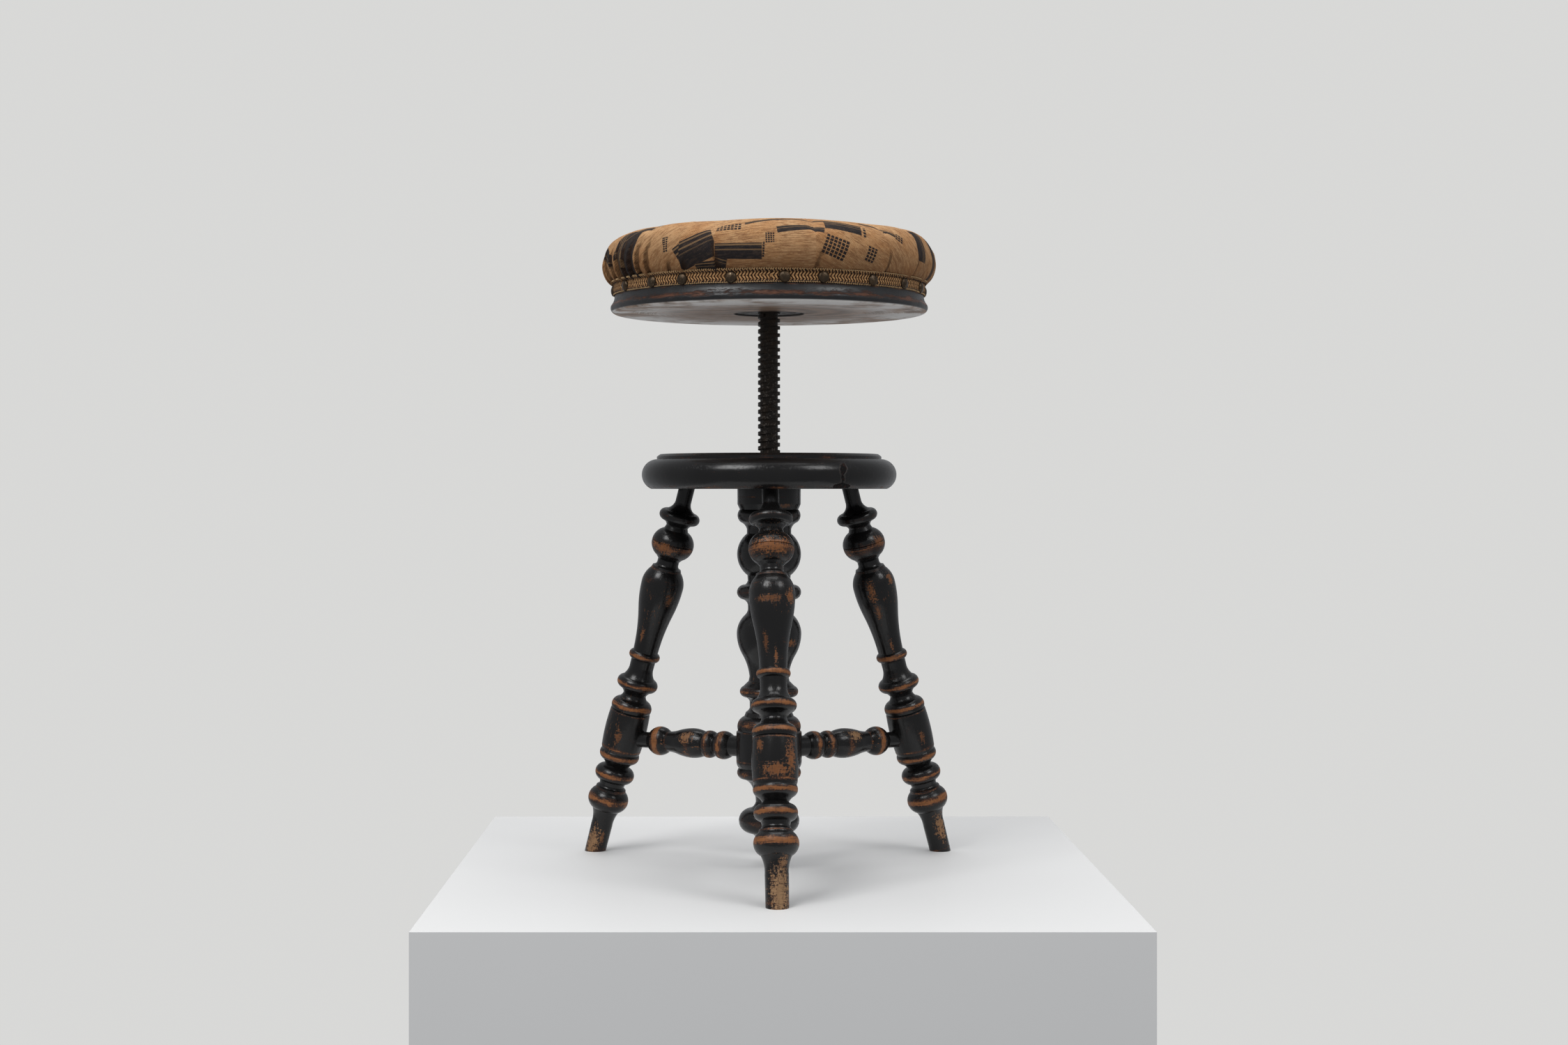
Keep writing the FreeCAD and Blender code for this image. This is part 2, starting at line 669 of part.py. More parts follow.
# Top: a turned disc with a round edge and a raised crown, let in for the nut and bored for the tenons
def make_top():
    body = new_body("top_turned")
    step = "(Sizes.top_underside + Sizes.top_rim_height)"
    step_top = f"({step} + Sizes.top_step_height)"
    section = outline(body, "top_section", [
        ("axis_low", "0", "Sizes.top_underside", 0),
        ("foot", "Sizes.top_foot_radius", "Sizes.top_underside", "Sizes.top_rim_bulge"),
        ("rim_shoulder", "Sizes.top_rim_shoulder_radius", step, 0),
        ("step", "Sizes.top_step_radius", step, 0),
        ("step_top", "Sizes.top_step_radius", step_top, 0),
        ("crown", "Sizes.top_crown_radius", TOP, 0),
        ("axis_high", "0", TOP, 0),
    ])
    revolve(body, section, "top_turning")
    socket = "(Sizes.column_tenon_radius + Sizes.joint_clearance)"
    socket_top = "(Sizes.top_underside + Sizes.column_tenon_length + Sizes.tenon_end_gap)"
    barrel = "(Sizes.nut_barrel_radius + Sizes.joint_clearance)"
    let_in = "(Sizes.nut_flange_radius + Sizes.joint_clearance)"
    under = "(Sizes.top_underside - Sizes.column_tenon_length)"
    over = f"({TOP} + Sizes.nut_flange_thickness)"
    hollow = outline(body, "top_hollow", [
        ("under_axis", "0", under, 0),
        ("socket_mouth", socket, under, 0),
        ("socket_end", socket, socket_top, 0),
        ("barrel_low", barrel, socket_top, 0),
        ("barrel_high", barrel, NUT_SEAT, 0),
        ("let_in", let_in, NUT_SEAT, 0),
        ("over", let_in, over, 0),
        ("over_axis", "0", over, 0),
    ])
    groove(body, hollow, "top_sockets")
    screw_holes(body, "nut_screw", *NUT_SCREWS)
    sockets = [
        cylinder(
            f"leg_socket_{side}", "Sizes.leg_neck_radius + Sizes.joint_clearance",
            "2 * Sizes.leg_tenon + Sizes.tenon_end_gap",
            leg_place(azimuth, twist) + " * placement(vector(0; 0; -Sizes.leg_tenon); rotationz(0))",
        )
        for side, azimuth, twist in PLACES
    ]
    return cut("top_disc", body, sockets)


def helix(body, name, inner, outer, low, high, run, kind):
    """A square thread of the screw's pitch, right-handed, its first tooth from low to high at azimuth 0."""
    tooth = outline(body, f"{name}_tooth", [
        ("low_in", inner, low, 0),
        ("low_out", outer, low, 0),
        ("high_out", outer, high, 0),
        ("high_in", inner, high, 0),
    ])
    thread = body.newObject(kind, name)
    thread.Profile = tooth
    thread.ReferenceAxis = (tooth, ["V_Axis"])
    thread.setExpression("Pitch", "Sizes.screw_pitch")
    thread.setExpression("Height", run)
    thread.LeftHanded = False
    return thread


TOOTH_LOW = f"({SCREW_END} + Sizes.screw_runout)"
TOOTH_HIGH = f"({TOOTH_LOW} + Sizes.screw_tooth_width)"


# Nut: an iron bush with a flange, threaded right through
def make_nut():
    body = new_body("screw_nut")
    bore = "(Sizes.screw_core_radius + Sizes.thread_clearance)"
    section = outline(body, "nut_section", [
        ("bore_low", bore, NUT_END, 0),
        ("barrel_low", "Sizes.nut_barrel_radius", NUT_END, 0),
        ("barrel_high", "Sizes.nut_barrel_radius", NUT_SEAT, 0),
        ("flange_low", "Sizes.nut_flange_radius", NUT_SEAT, 0),
        ("flange_high", "Sizes.nut_flange_radius", TOP, 0),
        ("bore_high", bore, TOP, 0),
    ])
    revolve(body, section, "nut_turning")
    screw_holes(body, "nut_plate", *NUT_SCREWS)
    doc.recompute()
    before = body.Shape.Volume
    helix(
        body, "nut_thread", f"({bore} - Sizes.tooth_root)",
        "(Sizes.screw_thread_radius + Sizes.thread_clearance)",
        f"({TOOTH_LOW} - Sizes.thread_clearance)", f"({TOOTH_HIGH} + Sizes.thread_clearance)",
        f"{TOP} - {SCREW_END} + Sizes.screw_pitch", "PartDesign::SubtractiveHelix",
    )
    doc.recompute()
    if not body.Shape.Volume < before:
        raise RuntimeError("the nut has no thread")
    return body


# Screw: core, square thread, stem through the flange and a riveted end, tapped below for the end screw
def make_screw():
    body = new_body("screw_spindle")
    collar = f"({FLANGE_UNDER} - Sizes.screw_collar)"
    rivet_top = f"({RECESS_TOP} + Sizes.screw_rivet_height)"
    tapped = "(Sizes.end_screw_shank_radius + Sizes.joint_clearance)"
    tapped_top = f"({END_SCREW_HEAD_TOP} + Sizes.end_screw_shank + Sizes.tenon_end_gap)"
    section = outline(body, "screw_section", [
        ("tapped_mouth", tapped, SCREW_END, 0),
        ("core_low", "Sizes.screw_core_radius", SCREW_END, 0),
        ("core_high", "Sizes.screw_core_radius", collar, 0),
        ("collar_low", "Sizes.screw_thread_radius", collar, 0),
        ("collar_high", "Sizes.screw_thread_radius", FLANGE_UNDER, 0),
        ("stem_low", "Sizes.screw_stem_radius", FLANGE_UNDER, 0),
        ("stem_high", "Sizes.screw_stem_radius", RECESS_TOP, 0),
        ("rivet_low", "Sizes.screw_rivet_radius", RECESS_TOP, 0),
        ("rivet_high", "Sizes.screw_stem_radius", rivet_top, 0),
        ("end_axis", "0", rivet_top, 0),
        ("tapped_axis", "0", tapped_top, 0),
        ("tapped_end", tapped, tapped_top, 0),
    ])
    revolve(body, section, "screw_turning")
    helix(
        body, "screw_thread", "(Sizes.screw_core_radius - Sizes.tooth_root)",
        "Sizes.screw_thread_radius", TOOTH_LOW, TOOTH_HIGH,
        f"{collar} - {TOOTH_HIGH}", "PartDesign::AdditiveHelix",
    )
    return body


# Stop washer, loose on the shoulder of the screw that holds it under the spindle
def make_washer():
    body = new_body("stop_washer")
    washer_top = f"({SCREW_END} - Sizes.washer_gap)"
    washer_foot = f"({washer_top} - Sizes.washer_thickness)"
    section = outline(body, "washer_section", [
        ("bore_low", "Sizes.washer_bore_radius", washer_foot, 0),
        ("rim_low", "Sizes.washer_radius", washer_foot, 0),
        ("rim_high", "Sizes.washer_radius", washer_top, 0),
        ("bore_high", "Sizes.washer_bore_radius", washer_top, 0),
    ])
    revolve(body, section, "washer_turning")
    return body


def make_end_screw():
    body = new_body("end_screw")
    head_foot = f"({END_SCREW_HEAD_TOP} - Sizes.end_screw_head)"
    shank_top = f"({END_SCREW_HEAD_TOP} + Sizes.end_screw_shank)"
    section = outline(body, "end_screw_section", [
        ("axis_low", "0", head_foot, 0),
        ("head_low", "Sizes.end_screw_head_radius", head_foot, 0),
        ("head_high", "Sizes.end_screw_head_radius", END_SCREW_HEAD_TOP, 0),
        ("shank_low", "Sizes.end_screw_shank_radius", END_SCREW_HEAD_TOP, 0),
        ("shank_high", "Sizes.end_screw_shank_radius", shank_top, 0),
        ("axis_high", "0", shank_top, 0),
    ])
    revolve(body, section, "end_screw_turning")
    slot_across(body, "end_screw", "end_screw", "0", head_foot, -1)
    return body


# Flange: an iron plate in the recess under the seat board, riveted to the screw
def make_flange():
    body = new_body("seat_flange")
    bore = "(Sizes.screw_stem_radius + Sizes.joint_clearance)"
    section = outline(body, "flange_section", [
        ("bore_low", bore, FLANGE_UNDER, 0),
        ("rim_low", "Sizes.flange_radius", FLANGE_UNDER, 0),
        ("rim_high", "Sizes.flange_radius", RECESS_TOP, 0),
        ("bore_high", bore, RECESS_TOP, 0),
    ])
    revolve(body, section, "flange_turning")
    screw_holes(body, "flange_plate", *FLANGE_SCREWS)
    return body


def radial(azimuth):
    """Sketch offset whose own H axis is a radius of the stool at the middle of the braid."""
    return {"Rotation.Angle": azimuth, "Base.y": BRAID_MIDDLE}


def pin_corners(seat, head, shank, length, grow):
    """Outline, about its own axis, of the shank of a nail or tack whose head sits at seat."""
    tip = f"({seat} - {length} - {grow})"
    past = f"({seat} + {head})"
    radius = f"({shank} + {grow})"
    return [("tip", tip, "0", 0), ("past_axis", past, "0", 0), ("past", past, radius, 0),
            ("tip_side", f"({tip} + Sizes.pin_point * {shank})", radius, 0)]


NAIL = (BRAID_OUTER, "Sizes.nail_head_height", "Sizes.nail_shank_radius", "Sizes.nail_shank")
TACK = (COVER_EDGE, "Sizes.tack_head", "Sizes.tack_shank_radius", "Sizes.tack_shank")


def pin_holes(body, kind, pin, azimuth):
    """Holes round the edge for the nails or the tacks, tied to them."""
    corners = pin_corners(*pin, "Sizes.shank_clearance")
    hole = outline(body, f"{kind}_hole_outline", corners, offset=radial(azimuth))
    first = groove(body, hole, f"{kind}_first_hole", "H_Axis")
    return repeat_round(body, [first], f"{kind}_holes", "Sizes.nail_count")


# Seat board: rounded below, flared to a waist, rebated for the cloth, recessed for the flange
def make_board():
    body = new_body("seat_board")
    rivet_room = f"({RECESS_TOP} + Sizes.screw_rivet_height + Sizes.tenon_end_gap)"
    rivet_side = "(Sizes.screw_rivet_radius + Sizes.joint_clearance)"
    widest = f"({SEAT} + Sizes.board_round_height)"
    waist = f"({SEAT} + Sizes.board_waist_height)"
    section = outline(body, "board_section", [
        ("recess_low", "Sizes.recess_radius", SEAT, 0),
        ("foot", "Sizes.board_foot_radius", SEAT, "Sizes.board_round_bulge"),
        ("widest", "Sizes.board_radius", widest, "-Sizes.board_flare_bulge"),
        ("waist", "Sizes.board_waist_radius", waist, 0),
        ("rebate", "Sizes.board_edge_radius", waist, 0),
        ("edge_top", "Sizes.board_edge_radius", BOARD_TOP, 0),
        ("axis_high", "0", BOARD_TOP, 0),
        ("axis_low", "0", rivet_room, 0),
        ("rivet_high", rivet_side, rivet_room, 0),
        ("rivet_low", rivet_side, RECESS_TOP, 0),
        ("recess_high", "Sizes.recess_radius", RECESS_TOP, 0),
    ])
    revolve(body, section, "board_turning")
    screw_holes(body, "board_screw", *FLANGE_SCREWS)
    pin_holes(body, "nail", NAIL, "Sizes.nail_first_azimuth")
    pin_holes(body, "tack", TACK, TACK_AZIMUTH)
    return body


def cushion_outside(tag, inset):
    """Corners of the cushion's surface, inset from the cover's outside, from the board's edge to the axis.

    The edge and the widest point are inset level, the crest and the middle straight down, and the shoulder
    along its own slope.
    """
    widest = f"({BOARD_TOP} + Sizes.cushion_widest_height)"
    shoulder = f"({BOARD_TOP} + Sizes.cushion_shoulder_height)"
    crest = f"({BOARD_TOP} + Sizes.cushion_crest_height)"
    slope = "Sizes.cushion_shoulder_slope"
    return [
        (f"{tag}_edge", f"({COVER_EDGE} - {inset})", BOARD_TOP, "Sizes.cushion_side_bulge"),
        (f"{tag}_widest", f"(Sizes.cushion_radius - {inset})", widest, "Sizes.cushion_shoulder_bulge"),
        (
            f"{tag}_shoulder", f"(Sizes.cushion_shoulder_radius - {inset} * cos({slope}))",
            f"({shoulder} - {inset} * sin({slope}))", "Sizes.cushion_crest_bulge",
        ),
        (f"{tag}_crest", "Sizes.cushion_crest_radius", f"({crest} - {inset})", "-Sizes.cushion_dip_bulge"),
        (f"{tag}_middle", "0", f"({crest} - Sizes.cushion_dip - {inset})", 0),
    ]


def reversed_corners(corners):
    """The same path walked the other way, so that each bulge changes its sign."""
    back = []
    for i in range(len(corners) - 1, -1, -1):
        name, across, up, _bulge = corners[i]
        bulge = str(corners[i - 1][3]) if i else "0"
        if bulge != "0":
            bulge = bulge[1:] if bulge.startswith("-") else f"-{bulge}"
        back.append((name, across, up, bulge if bulge != "0" else 0))
    return back


def make_skin(label, inset_out, inset_in, hem):
    """A cloth skin over the cushion, its hem turned down over the edge of the board."""
    body = new_body(label)
    hem_foot = f"({BOARD_TOP} - {hem})"
    outer = cushion_outside("outer", inset_out)
    inner = reversed_corners(cushion_outside("inner", inset_in))
    corners = [("hem_out", f"({COVER_EDGE} - {inset_out})", hem_foot, 0)] + outer + inner
    corners.append(("hem_in", f"({COVER_EDGE} - {inset_in})", hem_foot, 0))
    section = outline(body, f"{label}_section", corners)
    revolve(body, section, f"{label}_turning")
    pin_holes(body, "nail", NAIL, "Sizes.nail_first_azimuth")
    pin_holes(body, "tack", TACK, TACK_AZIMUTH)
    return body


# Stuffing: the crowned pad under the lining
def make_stuffing():
    body = new_body("stuffing_pad")
    inset = f"({LINING_IN} + Sizes.cloth_gap)"
    outer = cushion_outside("pad", inset)
    name, across, _up, bulge = outer[0]
    foot = f"({BOARD_TOP} + Sizes.cloth_gap)"
    outer[0] = (name, across, foot, bulge)
    section = outline(body, "pad_section", [("foot_axis", "0", foot, 0)] + outer)
    revolve(body, section, "pad_turning")
    return body


# Braid: a flat band round the edge of the board, over the hem of the cover
def make_braid():
    body = new_body("braid")
    section = outline(body, "braid_section", [
        ("foot_in", BRAID_INNER, BRAID_FOOT, 0),
        ("foot_out", BRAID_OUTER, BRAID_FOOT, 0),
        ("top_out", BRAID_OUTER, BRAID_TOP, 0),
        ("top_in", BRAID_INNER, BRAID_TOP, 0),
    ])
    revolve(body, section, "braid_turning")
    pin_holes(body, "nail", NAIL, "Sizes.nail_first_azimuth")
    return body


# Nails and tacks: turned about their own axes, then repeated round the edge
def make_nails():
    body = new_body("cover_nails")
    seat, head, shank, length = NAIL
    dome = "((Sizes.nail_head_radius^2 + Sizes.nail_head_height^2) / (2 * Sizes.nail_head_height))"
    bulge = f"({dome} - sqrt({dome}^2 - (Sizes.nail_head_radius^2 + Sizes.nail_head_height^2) / 4))"
    tip = f"({seat} - {length})"
    section = outline(body, "nail_section", [
        ("tip", tip, "0", 0),
        ("crown", f"({seat} + {head})", "0", bulge),
        ("rim", seat, "Sizes.nail_head_radius", 0),
        ("neck", seat, shank, 0),
        ("shank_end", f"({tip} + Sizes.pin_point * {shank})", shank, 0),
    ], offset=radial("Sizes.nail_first_azimuth"))
    nail = revolve(body, section, "nail_turning", "H_Axis")
    repeat_round(body, [nail], "nails_round", "Sizes.nail_count")
    return body


def make_tacks():
    body = new_body("cover_tacks")
    seat, head, shank, length = TACK
    tip = f"({seat} - {length})"
    face = f"({seat} + {head})"
    section = outline(body, "tack_section", [
        ("tip", tip, "0", 0),
        ("face_axis", face, "0", 0),
        ("face_rim", face, "Sizes.tack_head_radius", 0),
        ("back_rim", seat, "Sizes.tack_head_radius", 0),
        ("neck", seat, shank, 0),
        ("shank_end", f"({tip} + Sizes.pin_point * {shank})", shank, 0),
    ], offset=radial(TACK_AZIMUTH))
    tack = revolve(body, section, "tack_turning", "H_Axis")
    repeat_round(body, [tack], "tacks_round", "Sizes.nail_count")
    return body


parts = [make_leg(*spot) for spot in PLACES]
parts += [make_stretcher(side, azimuth) for side, azimuth, _twist in PLACES]
parts += [
    make_column(),
    make_top(),
    make_nut(),
    make_wood_screws("nut_screws", *NUT_SCREWS),
    make_screw(),
    make_washer(),
    make_end_screw(),
    make_flange(),
    make_wood_screws("flange_screws", *FLANGE_SCREWS),
    make_board(),
    make_stuffing(),
    make_skin("lining", LINING_OUT, LINING_IN, "Sizes.lining_hem"),
    make_skin("seat_cover", "0", "Sizes.cover_thickness", "Sizes.cover_hem"),
    make_braid(),
    make_nails(),
    make_tacks(),
]


def finish():
    """Checks every object and every piece, then writes one file for each piece."""
    doc.recompute()
    failed = [item.Name for item in doc.Objects if "Invalid" in item.State or "Error" in item.State]
    if failed:
        raise RuntimeError(f"these failed: {failed}")
    for piece in parts:
        if piece.Shape.isNull() or not piece.Shape.isValid():
            raise RuntimeError(f"{piece.Label} has no valid shape")
    os.makedirs("parts", exist_ok=True)
    for piece in parts:
        piece.Shape.exportStep(f"parts/{piece.Label}.step")
        print(f"{piece.Label}: {len(piece.Shape.Solids)} solids, {piece.Shape.Volume / 1000:.2f} cm3")


finish()
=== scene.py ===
import json
import logging
import math
from dataclasses import dataclass, field
from enum import Enum
from typing import Iterable, Optional, Sequence, Union

import bmesh
import bpy
from mathutils import Euler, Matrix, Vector

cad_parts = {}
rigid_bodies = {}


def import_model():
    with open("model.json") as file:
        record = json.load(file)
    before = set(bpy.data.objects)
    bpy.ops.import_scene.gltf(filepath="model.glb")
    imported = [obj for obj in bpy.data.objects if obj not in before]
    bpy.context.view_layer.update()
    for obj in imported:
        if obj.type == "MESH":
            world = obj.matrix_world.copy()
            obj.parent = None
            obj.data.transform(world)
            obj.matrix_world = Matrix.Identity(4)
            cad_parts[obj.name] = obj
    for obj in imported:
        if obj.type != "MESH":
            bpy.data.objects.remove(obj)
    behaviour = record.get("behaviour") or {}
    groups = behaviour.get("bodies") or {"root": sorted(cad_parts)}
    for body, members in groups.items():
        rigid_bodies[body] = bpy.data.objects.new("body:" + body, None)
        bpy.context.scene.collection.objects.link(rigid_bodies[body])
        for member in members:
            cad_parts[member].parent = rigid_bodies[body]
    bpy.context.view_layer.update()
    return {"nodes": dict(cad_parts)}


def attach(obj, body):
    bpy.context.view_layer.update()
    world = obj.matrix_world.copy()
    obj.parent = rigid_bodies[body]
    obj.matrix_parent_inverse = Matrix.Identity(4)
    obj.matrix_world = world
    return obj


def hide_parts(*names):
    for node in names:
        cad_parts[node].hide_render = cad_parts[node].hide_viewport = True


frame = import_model()

log = logging.getLogger("piano_stool")

MM = 0.001

Colour = tuple[float, float, float]
Feed = Union[float, Sequence[float], bpy.types.NodeSocket]
Socket = bpy.types.NodeSocket


class Slot(Enum):
    """Names of three of the record's material slots."""

    COVER = "cover_cloth"
    BRAID = "braid_cloth"
    NAILS = "nail_bronze"


class Lay(Enum):
    """How a mark woven into the cover is filled, by the name of its node group."""

    BAR = "bar"
    DASHES = "dashes"


# Node building


class Bench:
    """Sets out and wires the nodes of one node tree."""

    def __init__(self, tree: bpy.types.NodeTree) -> None:
        """Takes the tree to work on.

        Args:
            tree: A shader or geometry node tree.
        """
        self.tree = tree
        self.placed = 0

    def node(self, kind: str, **settings: object) -> bpy.types.Node:
        """Adds one node.

        Args:
            kind: Blender's name of the node type.
            **settings: Attributes of the node and their values.

        Returns:
            The new node.
        """
        made = self.tree.nodes.new(kind)
        made.location = (180 * (self.placed % 12), -220 * (self.placed // 12))
        self.placed += 1
        for name, value in settings.items():
            setattr(made, name, value)
        return made

    def feed(self, value: Optional[Feed], socket: Socket) -> None:
        """Wires an output into a socket, or sets the socket's own value.

        Args:
            value: An output socket, a number or a vector. None leaves the socket as it is.
            socket: The input to fill.
        """
        if value is None:
            return
        if isinstance(value, bpy.types.NodeSocket):
            self.tree.links.new(value, socket)
        elif socket.type == "RGBA" and len(value) == 3:
            socket.default_value = (*value, 1.0)
        else:
            socket.default_value = value

    def fill(self, node: bpy.types.Node, **values: Feed) -> bpy.types.Node:
        """Wires or sets several inputs of a node.

        Args:
            node: The node.
            **values: The inputs' names, with _ for a space, and what they get.

        Returns:
            The node.
        """
        for key, value in values.items():
            self.feed(value, node.inputs[key.replace("_", " ")])
        return node

    def math(self, operation: str, a: Feed, b: Optional[Feed] = None, clamp: bool = False) -> Socket:
        """Adds a Math node.

        Args:
            operation: Blender's name of the operation.
            a: First value.
            b: Second value, where the operation has one.
            clamp: Whether the result is kept between 0 and 1.

        Returns:
            The result.
        """
        made = self.node("ShaderNodeMath", operation=operation, use_clamp=clamp)
        self.feed(a, made.inputs[0])
        self.feed(b, made.inputs[1])
        return made.outputs[0]

    def add(self, a: Feed, b: Feed, clamp: bool = False) -> Socket:
        """The sum of two values, kept between 0 and 1 where clamp is set."""
        return self.math("ADD", a, b, clamp)

    def sub(self, a: Feed, b: Feed, clamp: bool = False) -> Socket:
        """The first value less the second, kept between 0 and 1 where clamp is set."""
        return self.math("SUBTRACT", a, b, clamp)

    def mul(self, a: Feed, b: Feed) -> Socket:
        """The product of two values."""
        return self.math("MULTIPLY", a, b)

    def div(self, a: Feed, b: Feed, clamp: bool = False) -> Socket:
        """The first value over the second, kept between 0 and 1 where clamp is set."""
        return self.math("DIVIDE", a, b, clamp)

    def most(self, a: Feed, b: Feed) -> Socket:
        """The larger of two values."""
        return self.math("MAXIMUM", a, b)

    def swing(self, noise: Feed, amount: float) -> Socket:
        """A noise about 0.5 as a push to both sides of 0, times an amount."""
        return self.mul(self.sub(noise, 0.5), amount)

    def vector(self, operation: str, a: Feed, b: Optional[Feed] = None) -> Socket:
        """Adds a Vector Math node.

        Args:
            operation: Blender's name of the operation.
            a: First vector.
            b: Second vector, where the operation has one.

        Returns:
            The result, as a vector or a value.
        """
        made = self.node("ShaderNodeVectorMath", operation=operation)
        self.feed(a, made.inputs[0])
        self.feed(b, made.inputs["Scale"] if operation == "SCALE" else made.inputs[1])
        return made.outputs["Value"] if operation in {"LENGTH", "DOT_PRODUCT"} else made.outputs[0]

    def place(self) -> Socket:
        """The object coordinates, in metres."""
        return self.node("ShaderNodeTexCoord").outputs["Object"]

    def split(self, vector: Socket) -> bpy.types.NodeOutputs:
        """The X, Y and Z of a vector.

        Args:
            vector: The vector to split.

        Returns:
            Three outputs.
        """
        made = self.node("ShaderNodeSeparateXYZ")
        self.feed(vector, made.inputs[0])
        return made.outputs

    def join(self, x: Feed, y: Feed, z: Feed) -> Socket:
        """A vector of three values.

        Args:
            x: First value.
            y: Second value.
            z: Third value.

        Returns:
            The vector.
        """
        made = self.node("ShaderNodeCombineXYZ")
        for value, socket in zip((x, y, z), made.inputs):
            self.feed(value, socket)
        return made.outputs[0]

    def smooth(self, value: Feed, low: float, high: float) -> Socket:
        """A soft step from 0 at low to 1 at high.

        Args:
            value: The value to step on.
            low: Where the step starts.
            high: Where the step ends. It may be below low.

        Returns:
            The step.
        """
        made = self.node("ShaderNodeMapRange", interpolation_type="SMOOTHSTEP")
        turned = low > high
        self.fill(made, Value=value, From_Min=min(low, high), From_Max=max(low, high),
                  To_Min=float(turned), To_Max=float(not turned))
        return made.outputs["Result"]

    def blend(self, amount: Feed, low: Feed, high: Feed, mode: str = "MIX") -> Socket:
        """Mixes two colours.

        Args:
            amount: 0 for low, 1 for high.
            low: First colour.
            high: Second colour.
            mode: Blender's name of the blend mode.

        Returns:
            The mixed colour.
        """
        made = self.node("ShaderNodeMix", data_type="RGBA", blend_type=mode)
        self.feed(amount, made.inputs["Factor"])
        self.feed(low, made.inputs[6])
        self.feed(high, made.inputs[7])
        return made.outputs[2]

    def noise(self, place: Feed, scale: float, detail: float = 3.0, roughness: float = 0.55,
              bend: float = 0.0) -> Socket:
        """A noise value.

        Args:
            place: Where it is read.
            scale: Features a metre.
            detail: Octaves.
            roughness: Share of each further octave.
            bend: Distortion.

        Returns:
            The noise, about 0.5.
        """
        made = self.node("ShaderNodeTexNoise")
        self.fill(made, Vector=place, Scale=scale, Detail=detail, Roughness=roughness, Distortion=bend)
        return made.outputs["Fac"]

    def stretch(self, place: Feed, factors: Sequence[float], offset: Sequence[float] = (0.0, 0.0, 0.0),
                ) -> Socket:
        """Scales and moves coordinates.

        Args:
            place: The coordinates.
            factors: Scale along each axis.
            offset: Added after the scale.

        Returns:
            The new coordinates.
        """
        scaled = self.vector("MULTIPLY", place, factors)
        return self.vector("ADD", scaled, offset) if any(offset) else scaled

    def bump(self, height: Feed, depth: float, strength: float = 1.0,
             normal: Optional[Socket] = None) -> Socket:
        """A bumped normal.

        Args:
            height: Height, 0 to 1.
            depth: What a height of 1 is, in metres.
            strength: Share of the effect.
            normal: The normal to start from.

        Returns:
            The normal.
        """
        made = self.node("ShaderNodeBump")
        return self.fill(made, Strength=strength, Distance=depth, Height=height, Normal=normal).outputs[0]

    def effect(self, name: str, **inputs: Feed) -> bpy.types.NodeOutputs:
        """Places a shared node group.

        Args:
            name: The group's name.
            **inputs: The group's inputs, with _ for a space in their names.

        Returns:
            The group's outputs.
        """
        return self.fill(self.node("ShaderNodeGroup", node_tree=bpy.data.node_groups[name]), **inputs).outputs


def new_effect(name: str, vectors: Sequence[str], floats: Sequence[str], outputs: Sequence[str],
               gives: str = "Float") -> tuple[Bench, bpy.types.NodeOutputs, bpy.types.NodeInputs]:
    """Starts a shader node group.

    Args:
        name: The group's name.
        vectors: Name of each input that is a vector.
        floats: Name of each input that is a number.
        outputs: Name of each output.
        gives: Kind of the outputs.

    Returns:
        Its bench, the outputs of its input node and the inputs of its output node.
    """
    tree = bpy.data.node_groups.new(name, "ShaderNodeTree")
    for label in (*vectors, *floats):
        kind = "Vector" if label in vectors else "Float"
        tree.interface.new_socket(label, in_out="INPUT", socket_type=f"NodeSocket{kind}")
    for label in outputs:
        tree.interface.new_socket(label, in_out="OUTPUT", socket_type=f"NodeSocket{gives}")
    bench = Bench(tree)
    return bench, bench.node("NodeGroupInput").outputs, bench.node("NodeGroupOutput").inputs


